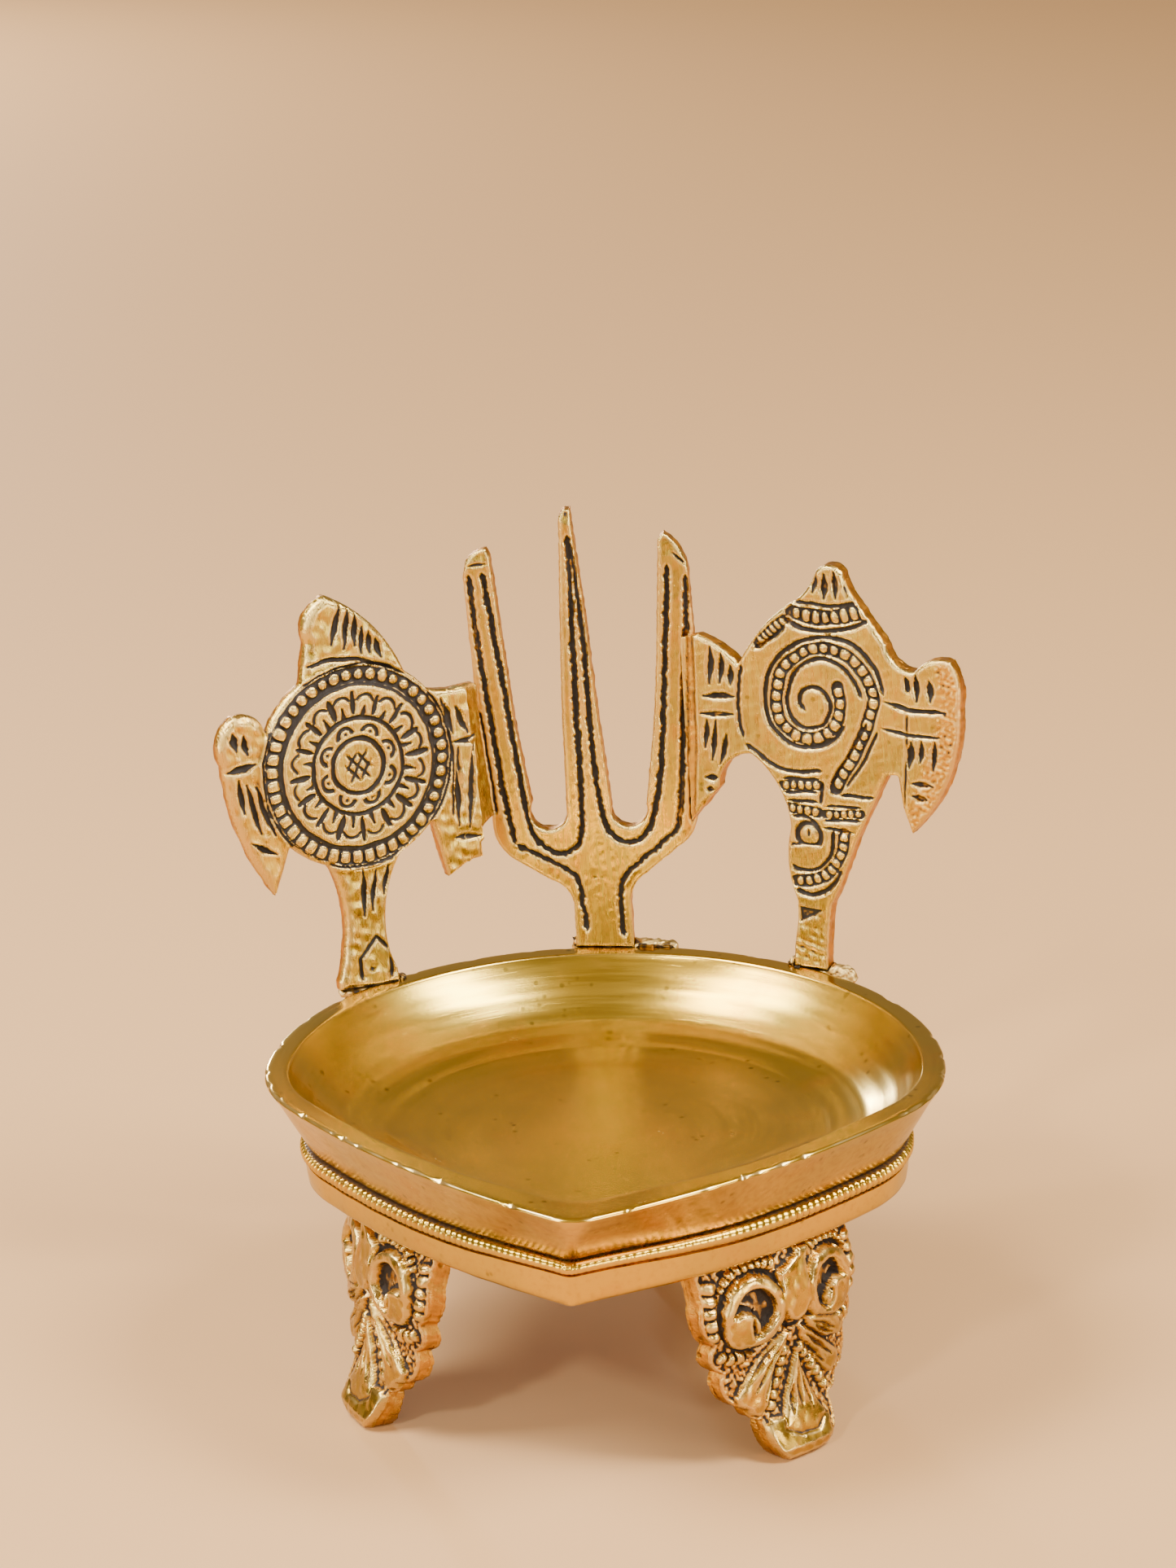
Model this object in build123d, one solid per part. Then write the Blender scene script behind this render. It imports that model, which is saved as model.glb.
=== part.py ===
from build123d import *
from math import atan2, cos, radians, sin, sqrt
import os

# A small cast-brass oil lamp: a leaf-shaped dish on three palmette feet, with a crest of three
# emblem plates (wheel, three-pronged mark, conch) brazed along the back of its rim.
# While building, the origin is under the centre of the dish's round back, the spout points to
# -Y and the floor is Z = 0. All lengths are in millimetres.

# ---- dish ----
rim_z = 53.0              # rim top above the floor
dish_height = 18.8        # rim top to the bottom of the skirt
back_radius = 55.8        # round back of the rim
shoulder_radius = 30.0    # where the back turns into the sides
shoulder_turn = 37.0      # degrees turned by each shoulder
side_radius = 170.0       # long gentle sides that meet at the spout
spout_round = 6.0         # rounding of the spout at the rim
rim_width = 3.8           # flat land on top of the wall
skirt_inset = 6.6         # bottom edge of the skirt, in from the rim
skirt_wall = 3.4
underside_z = -13.8       # roof of the hollow under the dish, below the rim

# ---- crest ----
plate_thickness = 3.3
plate_inset = 1.2         # how far the plates' front faces stand in from the rim's outer edge
crest_lean = 3.1          # the crest leans a little to the left in its own plane
crest_back = 2.0          # and a little backwards
wheel_post = (-41.9, 35.1)
wheel_yaw = 33.0
wheel_back = 5.0
wheel_centre = (2.2, 38.9)
wheel_radius = 17.9
wheel_bend_u = 20.6       # the wheel's right flame is bent back from here to reach the prongs
wheel_bend = 30.0
prongs_post = (-4.3, 54.4)
conch_post = (30.8, 45.2)
conch_yaw = -22.0

# ---- feet ----
foot_height = rim_z - dish_height
foot_root_z = rim_z + underside_z   # the plates run on up to the roof of the hollow
foot_half_width = 17.2
foot_plan_radius = 42.0   # the foot plates are convex in plan
foot_thickness = 4.2
# where each foot faces, in degrees from the spout towards +X, and how far out its front stands
foot_places = {
    "foot_front_right": (47.0, 43.4), "foot_front_left": (-61.0, 42.3), "foot_back": (173.0, 45.4),
}

# ---- braze ----
braze_radius = 2.2
seam_radius = 1.5


def leaf(inset, tip_round):
    """Face of the leaf outline, every arc moved inwards by inset."""
    turn = radians(shoulder_turn)
    shoulder_x = back_radius - shoulder_radius
    back = back_radius - inset
    shoulder = shoulder_radius - inset
    side = side_radius - inset
    side_x = shoulder_x + (shoulder_radius - side_radius) * cos(turn)
    side_y = (side_radius - shoulder_radius) * sin(turn)
    tip_y = side_y - sqrt(side ** 2 - side_x ** 2)
    end = (shoulder_x + shoulder * cos(turn), -shoulder * sin(turn))
    mid = (shoulder_x + shoulder * cos(turn / 2), -shoulder * sin(turn / 2))
    tip_angle = atan2(tip_y - side_y, -side_x)
    middle_angle = (-turn + tip_angle) / 2
    side_mid = (side_x + side * cos(middle_angle), side_y + side * sin(middle_angle))

    def flip(point):
        return (-point[0], point[1])

    with BuildSketch() as sketch:
        with BuildLine():
            ThreePointArc((-back, 0), (0, back), (back, 0))
            ThreePointArc((back, 0), mid, end)
            ThreePointArc(end, side_mid, (0, tip_y))
            ThreePointArc((0, tip_y), flip(side_mid), flip(end))
            ThreePointArc(flip(end), flip(mid), (-back, 0))
        make_face()
        fillet(sketch.vertices().sort_by(Axis.Y)[0], tip_round)
    return sketch.sketch


def stack(sections):
    """Solid lofted straight from each (z below the rim, inset, spout rounding) to the next."""
    faces = [Pos(0, 0, rim_z + z) * leaf(inset, tip) for z, inset, tip in sections]
    body = loft([faces[0], faces[1]], ruled=True)
    for lower, upper in zip(faces[1:], faces[2:]):
        body += loft([lower, upper], ruled=True)
    return body


def make_dish():
    outside = stack([
        (0, 0, spout_round), (-11.0, 6.2, 3.0), (-11.5, 6.9, 3.0), (-12.2, 5.4, 3.0),
        (-13.5, 5.2, 3.0), (-14.2, 6.2, 2.5), (-14.5, 5.9, 2.5), (-dish_height, skirt_inset, 2.0),
    ])
    basin = stack([
        (0.5, rim_width - 0.4, 8.5), (0, rim_width, 8.5), (-2.6, 5.6, 9.0), (-6.2, 9.0, 10.0),
        (-8.8, 12.8, 12.0), (-10.2, 17.4, 14.0), (-10.6, 20.0, 15.0),
    ])
    hollow = stack([
        (-dish_height - 1, skirt_inset + skirt_wall, 8.0),
        (underside_z - 1.0, skirt_inset + skirt_wall + 0.6, 8.0),
        (underside_z, skirt_inset + skirt_wall + 3.0, 9.0),
    ])
    return outside - basin - hollow


def face_from(points):
    """Closed outline; a tuple of three points inside the list is an arc through them."""
    edges = []
    last = points[0]
    for point in points[1:] + [points[0]]:
        if isinstance(point[0], tuple):
            edges.append(ThreePointArc(last, point[0], point[1]))
            last = point[1]
        elif point != last:
            edges.append(Line(last, point))
            last = point
    return make_face(edges)


def upright(sketch, thickness=plate_thickness):
    """A flat outline (u, v) stood up: u along X, v along Z, front face at Y = 0."""
    return Rot(90, 0, 0) * extrude(sketch, -thickness)


def place(plate, post, yaw, back):
    """Lean a plate to the left and backwards, turn it and stand it on the rim."""
    stood = Pos(post[0], post[1], rim_z) * Rot(0, 0, yaw) * Rot(-back, 0, 0) * Rot(0, -crest_lean, 0) * plate
    under_rim = Pos(0, 0, rim_z - 20) * Box(300, 300, 40)
    return stood - under_rim


def wheel_plate():
    disc = Pos(*wheel_centre) * Circle(wheel_radius)
    top_flame = face_from([(-6.8, 52), (-4.2, 61.5), ((-2.8, 67.2), (0.6, 68.9)), ((6.6, 64.2), (13.4, 52))])
    left_flame = face_from([
        (-13.4, 47), ((-15.0, 51.2), (-18.9, 52.0)), ((-21.7, 49.6), (-22.0, 44)), ((-20.4, 31), (-15.4, 19.8)),
        (-13.2, 24.2), (-10.6, 30),
    ])
    post = face_from([
        (-6.4, 25), ((-3.8, 18), (-3.4, 13)), ((-4.4, 7), (-6.0, 2)), (-6.2, -3), (5.1, -3), (4.9, 2),
        ((3.7, 7), (3.8, 11)), ((5.2, 17), (9, 23)),
    ])
    root = face_from([(12, 54), ((16, 49.6), (wheel_bend_u, 48.2)), (wheel_bend_u, 17.4), (16.6, 15.6), (14.6, 27)])
    flat = disc + top_flame + left_flame + post + root
    tongue = face_from([
        (wheel_bend_u, 48.2), (30.5, 46.8), (30.5, 22.8), ((25.6, 21.6), (22.6, 19.6)), (wheel_bend_u, 17.4),
    ])
    hinge = Pos(wheel_bend_u, 0, 0)
    bent = hinge * Rot(0, 0, wheel_bend) * hinge.inverse() * upright(tongue)
    low, high = 17.6, 48.0
    knuckle = Pos(wheel_bend_u, 0, (low + high) / 2) * Cylinder(plate_thickness, high - low)
    behind = Pos(wheel_bend_u, plate_thickness, 32) * Box(8, 2 * plate_thickness, 60)
    return upright(flat) + bent + (knuckle & behind)


def prongs_plate():
    outline = face_from([
        (-5.1, -3), (-4.9, 7), ((-5.6, 10.4), (-8.4, 12.6)), (-13.8, 16.2), ((-16.8, 19.2), (-17.8, 24)),
        (-18.9, 40), (-19.4, 67.6), (-18.9, 69.8), ((-17.4, 71.6), (-15.0, 72.3)), (-14.4, 70.8),
        (-12.4, 41), (-10.6, 26.5), ((-7.6, 21.9), (-4.9, 24.4)),
        (-4.3, 44), (-3.4, 60.5), (-2.3, 77.2), (-1.3, 78.6), (-0.2, 78.4),
        (1.1, 60.5), (1.9, 44), (3.2, 25.6), ((6.0, 21.8), (9.0, 25.6)),
        (11.3, 40), (12.5, 51), (14.3, 72.4), (15.4, 73.5), ((18.2, 70.4), (19.3, 65)),
        (19.5, 55), (19.0, 36), (17.8, 23.6), ((16.8, 20.0), (14.4, 17.8)), (8.4, 13.2),
        ((6.0, 10.8), (5.3, 7.4)), (5.2, -3),
    ])
    return upright(outline)


def conch_plate():
    outline = face_from([
        (-2.4, -3), (-1.9, 4), (-1.0, 9), (-1.0, 12.2), ((-2.3, 17.5), (-1.6, 25)), ((-3.0, 31), (-8.3, 37.4)),
        ((-12.0, 36.2), (-14.6, 31.2)), (-20.5, 24.4), (-20.5, 57.2), (-17.4, 58.0), ((-12.8, 55.8), (-9.9, 53.4)),
        ((-5.6, 59.6), (1.6, 65.4)), ((3.6, 67.4), (5.0, 69.9)), ((7.6, 71.5), (10.2, 70.0)),
        ((11.4, 67.0), (12.8, 65.0)), (17.6, 58.2), ((19.6, 54.9), (22.6, 54.0)),
        ((26.0, 56.2), (29.2, 56.0)), ((30.4, 53.4), (30.6, 48)), ((29.0, 37.6), (21.0, 25.6)),
        (19.4, 30.4), (18.8, 35.6), (16.8, 35.4), (10.8, 23.6), (7.4, 15.2), (5.5, 11.6), (4.8, 7.4), (4.0, -3),
    ])
    return upright(outline)


def foot_plate():
    """A foot facing +X, its front at X = 0 under the skirt, convex in plan, toe on the floor."""
    axis_x = -foot_plan_radius
    front = [(-0.6, foot_root_z), (0.0, foot_height), (1.9, 27.0), (1.6, 15.0), (2.2, 9.0), (5.0, 2.2)]
    toe = 4.8
    heel = toe - foot_thickness - 1.2
    back = [(heel, 0.0)] + [(x - foot_thickness, z) for x, z in reversed(front[:-1])]
    with BuildSketch(Plane.XZ) as section:
        with BuildLine():
            Spline(*[(x - axis_x, z) for x, z in front])
            Line((front[-1][0] - axis_x, front[-1][1]), (toe - axis_x, 0))
            Line((toe - axis_x, 0), (heel - axis_x, 0))
            Spline(*[(x - axis_x, z) for x, z in back])
            Line((back[-1][0] - axis_x, foot_root_z), (front[0][0] - axis_x, foot_root_z))
        make_face()
    shell = Rot(0, 0, -60) * revolve(section.sketch, Axis.Z, 120)
    right_side = [
        (foot_half_width, foot_root_z + 1), (foot_half_width, 28.5), ((17.3, 24.4), (15.4, 21.2)),
        ((15.9, 18.4), (13.8, 16.2)), ((13.7, 12.2), (10.4, 9.4)), ((9.4, 7.6), (7.6, 7.2)), ((7.2, 3.0), (3.6, -1)),
    ]
    left_side = [
        (-3.6, -1), ((-7.2, 3.0), (-7.6, 7.2)), ((-9.4, 7.6), (-10.4, 9.4)), ((-13.7, 12.2), (-13.8, 16.2)),
        ((-15.9, 18.4), (-15.4, 21.2)), ((-17.3, 24.4), (-foot_half_width, 28.5)),
        (-foot_half_width, foot_root_z + 1),
    ]
    shape = face_from(right_side + left_side)
    window = Rot(0, 0, 90) * Rot(90, 0, 0) * extrude(shape, 60, both=True)
    return Pos(axis_x, 0, 0) * (shell & window)


def place_foot(shape, azimuth, reach):
    """A shape made facing +X, turned to the foot's azimuth and moved out under the skirt."""
    return Rot(0, 0, azimuth - 90) * Pos(reach, 0, 0) * shape


def rod(start, end, radius):
    """Round-ended rod between two points, the run of a braze bead."""
    span = Vector(*end) - Vector(*start)
    shaft = Plane(origin=start, z_dir=span) * Cylinder(
        radius, span.length, align=(Align.CENTER, Align.CENTER, Align.MIN))
    return shaft + Pos(*start) * Sphere(radius) + Pos(*end) * Sphere(radius)


def main_solid(shape):
    """The largest solid of a cut bead."""
    return shape.solids().sort_by(SortBy.VOLUME)[-1]


def along(post, yaw, u, z, out):
    """A point beside a plate: u along it from its post, out behind its front face."""
    turn = radians(yaw)
    x = post[0] + u * cos(turn) - out * sin(turn)
    y = post[1] + u * sin(turn) + out * cos(turn)
    return (x, y, z)


def post_bead(plate, post, yaw, u_from, u_to):
    """Braze in the corner under a plate that overhangs the back of the rim."""
    out = plate_inset + 0.9
    start = along(post, yaw, u_from, rim_z - 0.4, out)
    end = along(post, yaw, u_to, rim_z - 1.2, out)
    return main_solid(rod(start, end, braze_radius) - dish - plate)


def seam_bead(plate, edge_u, low_v, high_v, out):
    """Braze run up the back of the joint between a side emblem and the prongs' edge."""
    ends = []
    for v in (low_v, high_v):
        lean = v * radians(crest_lean)
        ends.append((prongs_post[0] + edge_u - lean, prongs_post[1] + out + v * radians(crest_back), rim_z + v))
    return main_solid(rod(*ends, seam_radius) - prongs - plate)


def foot_bead(plate, azimuth, reach):
    """Braze in the corner between the foot's inner face and the roof of the hollow."""
    inside = -foot_thickness - 1.6
    run = rod((inside, -8.0, foot_root_z - 0.6), (inside, 8.0, foot_root_z - 0.6), braze_radius)
    return main_solid(place_foot(run, azimuth, reach) - dish - plate)


dish = make_dish()
prongs = place(prongs_plate(), prongs_post, 0, crest_back)
wheel = main_solid(place(wheel_plate(), wheel_post, wheel_yaw, wheel_back) - prongs)
conch = main_solid(place(conch_plate(), conch_post, conch_yaw, crest_back) - prongs)
nodes = {
    "dish": dish,
    "wheel_emblem": wheel,
    "prong_emblem": prongs,
    "conch_emblem": conch,
    "braze_wheel_post": post_bead(wheel, wheel_post, wheel_yaw, -4.0, 5.0),
    "braze_prong_post": post_bead(prongs, prongs_post, 0, -4.0, 11.0),
    "braze_conch_post": post_bead(conch, conch_post, conch_yaw, -2.0, 7.0),
    "braze_wheel_to_prong": seam_bead(wheel, -20.4, 25.0, 44.0, 2.6),
    "braze_conch_to_prong": seam_bead(conch, 19.2, 29.0, 53.0, 3.6),
}
for name, (azimuth, reach) in foot_places.items():
    foot = main_solid(place_foot(foot_plate(), azimuth, reach) - dish)
    nodes[name] = foot
    nodes["braze_" + name] = foot_bead(foot, azimuth, reach)

# the finished lamp stands on the floor, centred on its own footprint
centre = Compound([solid for shape in nodes.values() for solid in shape.solids()]).bounding_box().center()
os.makedirs("parts", exist_ok=True)
for name, shape in nodes.items():
    export_step(Pos(-centre.X, -centre.Y, 0) * shape, f"parts/{name}.step")
print("moved by", -centre.X, -centre.Y)
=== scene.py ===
import math
import bpy
import numpy as np
from mathutils import Matrix, Vector
from mathutils.kdtree import KDTree


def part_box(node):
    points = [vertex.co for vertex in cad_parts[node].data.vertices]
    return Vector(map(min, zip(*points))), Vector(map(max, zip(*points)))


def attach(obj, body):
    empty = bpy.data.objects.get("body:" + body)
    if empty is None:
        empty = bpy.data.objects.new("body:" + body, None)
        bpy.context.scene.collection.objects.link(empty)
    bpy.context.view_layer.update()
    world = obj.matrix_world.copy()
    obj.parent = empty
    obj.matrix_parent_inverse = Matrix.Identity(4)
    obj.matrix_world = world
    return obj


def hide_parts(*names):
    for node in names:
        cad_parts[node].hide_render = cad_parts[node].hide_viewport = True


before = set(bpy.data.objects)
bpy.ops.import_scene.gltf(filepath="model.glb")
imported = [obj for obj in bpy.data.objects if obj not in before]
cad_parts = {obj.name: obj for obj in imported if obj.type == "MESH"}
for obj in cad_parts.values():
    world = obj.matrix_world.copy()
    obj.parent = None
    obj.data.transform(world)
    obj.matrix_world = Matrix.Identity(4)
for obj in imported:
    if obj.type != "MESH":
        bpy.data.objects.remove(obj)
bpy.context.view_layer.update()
mm = 0.001

# the lamp's own centre: under the middle of the dish's round back
dishLow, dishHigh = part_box("dish")
backRadius = 55.8
centre = Vector(((dishLow.x + dishHigh.x) / 2, dishHigh.y - backRadius * mm, 0))
rimZ = dishHigh.z / mm


def onlySelect(piece):
    bpy.ops.object.select_all(action="DESELECT")
    piece.select_set(True)
    bpy.context.view_layer.objects.active = piece


def readPoints(mesh, what="co"):
    values = np.zeros(len(mesh.vertices) * 3, np.float32)
    mesh.vertices.foreach_get(what, values)
    return values.reshape(-1, 3).astype(float)


def writePoints(mesh, points):
    mesh.vertices.foreach_set("co", points.astype(np.float32).ravel())
    mesh.update()


def storeValues(mesh, name, values):
    kind = "FLOAT" if values.ndim == 1 else "FLOAT_VECTOR"
    attribute = mesh.attributes.new(name, kind, "POINT")
    field = "value" if kind == "FLOAT" else "vector"
    attribute.data.foreach_set(field, values.astype(np.float32).ravel())


def applyModifier(piece, kind, **settings):
    onlySelect(piece)
    modifier = piece.modifiers.new("work", kind)
    for name, value in settings.items():
        setattr(modifier, name, value)
    bpy.ops.object.modifier_apply(modifier=modifier.name)


def smoothStep(low, high, values):
    share = np.clip((values - low) / (high - low), 0, 1)
    return share * share * (3 - 2 * share)


# soft lumps from a few crossed waves, from -1 to 1, the same on every run
def lumps(points, size, seed=0):
    waves = np.random.default_rng(seed)
    total = np.zeros(len(points))
    for _ in range(18):
        direction = waves.normal(size=points.shape[1])
        direction *= waves.uniform(0.35, 1.7) / (size * np.linalg.norm(direction))
        total += np.sin(points @ direction * 2 * math.pi + waves.uniform(0, 6.28))
    return total / 6


def spread(mesh, values, rounds):
    pairs = np.zeros(len(mesh.edges) * 2, int)
    mesh.edges.foreach_get("vertices", pairs)
    first, second = pairs.reshape(-1, 2).T
    count = np.bincount(first, minlength=len(values)) + np.bincount(second, minlength=len(values))
    for _ in range(rounds):
        total = np.bincount(first, values[second], len(values))
        total = total + np.bincount(second, values[first], len(values))
        values = (values + total) / (1 + count)
    return values


# how far each vertex stands proud of its neighbourhood: proud edges get the bright rubbed colour, partly real
# edge wear and partly a painted highlight
def storeWearAndHighlight(piece, reach, rounds=4, hold=1.0):
    mesh = piece.data
    points = readPoints(mesh)
    around = np.stack([spread(mesh, points[:, k], rounds) for k in range(3)], 1)
    proud = ((points - around) * readPoints(mesh, "normal")).sum(1) / (reach * mm)
    storeValues(mesh, "wear", np.clip(spread(mesh, proud, 1), -1, 1) * hold)


def finishPiece(piece, material, node, angle=40):
    piece.data.materials.clear()
    piece.data.materials.append(material)
    onlySelect(piece)
    bpy.ops.object.shade_smooth_by_angle(angle=math.radians(angle))
    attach(piece, "root")
    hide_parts(node)


def newGroup(name, inputs, outputs):
    group = bpy.data.node_groups.new(name, "ShaderNodeTree")
    for label, kind, value in inputs:
        socket = group.interface.new_socket(label, in_out="INPUT", socket_type=kind)
        if value is not None:
            socket.default_value = value
    for label, kind in outputs:
        group.interface.new_socket(label, in_out="OUTPUT", socket_type=kind)
    start = group.nodes.new("NodeGroupInput")
    end = group.nodes.new("NodeGroupOutput")
    return group, start, end


def addNode(tree, kind, **settings):
    node = tree.nodes.new(kind)
    for name, value in settings.items():
        if name in node.inputs:
            node.inputs[name].default_value = value
        else:
            setattr(node, name, value)
    return node


def math2(tree, operation, a, b):
    node = tree.nodes.new("ShaderNodeMath")
    node.operation = operation
    for socket, value in zip(node.inputs, (a, b)):
        if isinstance(value, (int, float)):
            socket.default_value = value
        else:
            tree.links.new(value, socket)
    return node.outputs[0]


def rangeMap(tree, value, fromLow, fromHigh, toLow=0.0, toHigh=1.0):
    node = tree.nodes.new("ShaderNodeMapRange")
    node.interpolation_type = "SMOOTHSTEP"
    for name, number in (("From Min", fromLow), ("From Max", fromHigh), ("To Min", toLow), ("To Max", toHigh)):
        node.inputs[name].default_value = number
    tree.links.new(value, node.inputs["Value"])
    return node.outputs["Result"]


def mixColor(tree, factor, a, b, blend="MIX"):
    node = tree.nodes.new("ShaderNodeMix")
    node.data_type = "RGBA"
    node.blend_type = blend
    for socket, value in ((node.inputs[0], factor), (node.inputs[6], a), (node.inputs[7], b)):
        if isinstance(value, (int, float, tuple)):
            socket.default_value = value
        else:
            tree.links.new(value, socket)
    return node.outputs[2]


# broad drifts of greener, yellower and redder brass, with small stains
def makeBrassTone():
    group, start, end = newGroup(
        "brassTone",
        [("Vector", "NodeSocketVector", None), ("Green", "NodeSocketColor", None),
         ("Gold", "NodeSocketColor", None), ("Stain", "NodeSocketColor", None),
         ("Drift Size", "NodeSocketFloat", 60.0), ("Stain Amount", "NodeSocketFloat", 0.4)],
        [("Color", "NodeSocketColor"), ("Stain Mask", "NodeSocketFloat")])
    drift = addNode(group, "ShaderNodeTexNoise", Detail=3.0, Roughness=0.55)
    spots = addNode(group, "ShaderNodeTexNoise", Detail=6.0, Roughness=0.62, Distortion=0.6)
    group.links.new(start.outputs["Vector"], drift.inputs["Vector"])
    group.links.new(start.outputs["Vector"], spots.inputs["Vector"])
    group.links.new(start.outputs["Drift Size"], drift.inputs["Scale"])
    group.links.new(math2(group, "MULTIPLY", start.outputs["Drift Size"], 2.7), spots.inputs["Scale"])
    base = mixColor(group, rangeMap(group, drift.outputs["Fac"], 0.38, 0.62), start.outputs["Green"],
                    start.outputs["Gold"])
    stained = rangeMap(group, spots.outputs["Fac"], 0.52, 0.70)
    stain = math2(group, "MULTIPLY", stained, start.outputs["Stain Amount"])
    group.links.new(mixColor(group, stain, base, start.outputs["Stain"]), end.inputs["Color"])
    group.links.new(stain, end.inputs["Stain Mask"])
    return group


# dark patina that stays in recesses, broken up by rubbing, and bright edges, partly rubbed wear and partly a
# painted highlight
def makeAging():
    group, start, end = newGroup(
        "aging",
        [("Vector", "NodeSocketVector", None), ("Cavity", "NodeSocketFloat", 0.0),
         ("Wear", "NodeSocketFloat", 0.0)],
        [("Patina", "NodeSocketFloat"), ("Rust", "NodeSocketFloat"), ("Rubbed", "NodeSocketFloat")])
    patchy = addNode(group, "ShaderNodeTexNoise", Scale=900.0, Detail=4.0, Roughness=0.6)
    group.links.new(start.outputs["Vector"], patchy.inputs["Vector"])
    broken = math2(group, "MULTIPLY", math2(group, "SUBTRACT", patchy.outputs["Fac"], 0.5), 0.9)
    depth = math2(group, "ADD", start.outputs["Cavity"], broken)
    depth = math2(group, "SUBTRACT", depth, math2(group, "MULTIPLY", start.outputs["Wear"], 0.8))
    group.links.new(rangeMap(group, depth, 0.50, 0.86), end.inputs["Patina"])
    group.links.new(rangeMap(group, depth, 0.10, 0.62), end.inputs["Rust"])
    group.links.new(rangeMap(group, start.outputs["Wear"], 0.12, 0.55), end.inputs["Rubbed"])
    return group


# sand-cast skin: rounded grains and a few gas pits
def makeCastSkin():
    group, start, end = newGroup(
        "castSkin",
        [("Vector", "NodeSocketVector", None), ("Grain Size", "NodeSocketFloat", 1500.0),
         ("Pit Size", "NodeSocketFloat", 420.0)],
        [("Height", "NodeSocketFloat"), ("Pits", "NodeSocketFloat")])
    grain = addNode(group, "ShaderNodeTexNoise", Detail=4.0, Roughness=0.6)
    pits = addNode(group, "ShaderNodeTexVoronoi", feature="F1", Randomness=1.0)
    where = addNode(group, "ShaderNodeTexNoise", Scale=160.0, Detail=2.0)
    for texture in (grain, pits, where):
        group.links.new(start.outputs["Vector"], texture.inputs["Vector"])
    group.links.new(start.outputs["Grain Size"], grain.inputs["Scale"])
    group.links.new(start.outputs["Pit Size"], pits.inputs["Scale"])
    hole = rangeMap(group, pits.outputs["Distance"], 0.10, 0.26, 1.0, 0.0)
    hole = math2(group, "MULTIPLY", hole, rangeMap(group, where.outputs["Fac"], 0.50, 0.62))
    group.links.new(hole, end.inputs["Pits"])
    group.links.new(math2(group, "SUBTRACT", grain.outputs["Fac"], math2(group, "MULTIPLY", hole, 0.9)),
                    end.inputs["Height"])
    return group


# file and polishing marks: noise drawn out along one direction of the vector it is given
def makeBrushing():
    group, start, end = newGroup(
        "brushing",
        [("Vector", "NodeSocketVector", None)],
        [("Height", "NodeSocketFloat"), ("Streaks", "NodeSocketFloat"), ("Scratches", "NodeSocketFloat")])
    fine = addNode(group, "ShaderNodeTexNoise", Scale=1.0, Detail=5.0, Roughness=0.7)
    broad = addNode(group, "ShaderNodeTexNoise", Scale=0.22, Detail=3.0, Roughness=0.6)
    deep = addNode(group, "ShaderNodeTexNoise", Scale=0.6, Detail=1.0, Distortion=0.3)
    for texture in (fine, broad, deep):
        group.links.new(start.outputs["Vector"], texture.inputs["Vector"])
    scratch = rangeMap(group, deep.outputs["Fac"], 0.64, 0.70)
    height = math2(group, "ADD", fine.outputs["Fac"], math2(group, "MULTIPLY", broad.outputs["Fac"], 0.8))
    height = math2(group, "SUBTRACT", height, math2(group, "MULTIPLY", scratch, 0.8))
    group.links.new(height, end.inputs["Height"])
    group.links.new(rangeMap(group, broad.outputs["Fac"], 0.35, 0.65), end.inputs["Streaks"])
    group.links.new(scratch, end.inputs["Scratches"])
    return group


brassTone = makeBrassTone()
aging = makeAging()
castSkin = makeCastSkin()
brushing = makeBrushing()

finishes = {
    "polished": dict(green=(0.53, 0.375, 0.055), gold=(0.68, 0.43, 0.040), stain=(0.60, 0.25, 0.02),
                     patina=(0.060, 0.030, 0.012), driftSize=22.0, stainAmount=0.30, roughness=0.20,
                     roughSpread=0.045, grain=0.00002, brush=0.000004, brushScale=(7.0, 7.0, 4.0),
                     streaks=0.10, rubbed=0.85),
    "crest": dict(green=(0.41, 0.305, 0.050), gold=(0.55, 0.375, 0.045), stain=(0.58, 0.23, 0.015),
                  patina=(0.016, 0.011, 0.009), driftSize=70.0, stainAmount=0.45, roughness=0.17,
                  roughSpread=0.13, grain=0.00006, brush=0.00006, brushScale=(5.0, 0.45, 1.0),
                  streaks=0.30, rubbed=0.45),
    "feet": dict(green=(0.38, 0.25, 0.035), gold=(0.52, 0.31, 0.030), stain=(0.58, 0.24, 0.02),
                 patina=(0.018, 0.011, 0.007), driftSize=80.0, stainAmount=0.5, roughness=0.19,
                 roughSpread=0.16, grain=0.00012, brush=0.00002, brushScale=(1.2, 1.2, 1.2),
                 streaks=0.20, rubbed=0.40),
    "braze": dict(green=(0.50, 0.37, 0.12), gold=(0.60, 0.43, 0.14), stain=(0.42, 0.26, 0.09),
                  patina=(0.02, 0.014, 0.010), driftSize=120.0, stainAmount=0.5, roughness=0.30,
                  roughSpread=0.18, grain=0.00010, brush=0.00002, brushScale=(1.2, 1.2, 1.2),
                  streaks=0.20, rubbed=0.40),
}
rustColor = (0.30, 0.13, 0.025)
# bright colour laid on proud edges: partly real edge wear, partly a painted highlight; each finish's rubbed
# value sets how much of it
rubbedAndHighlightColor = (0.88, 0.66, 0.27)


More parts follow.
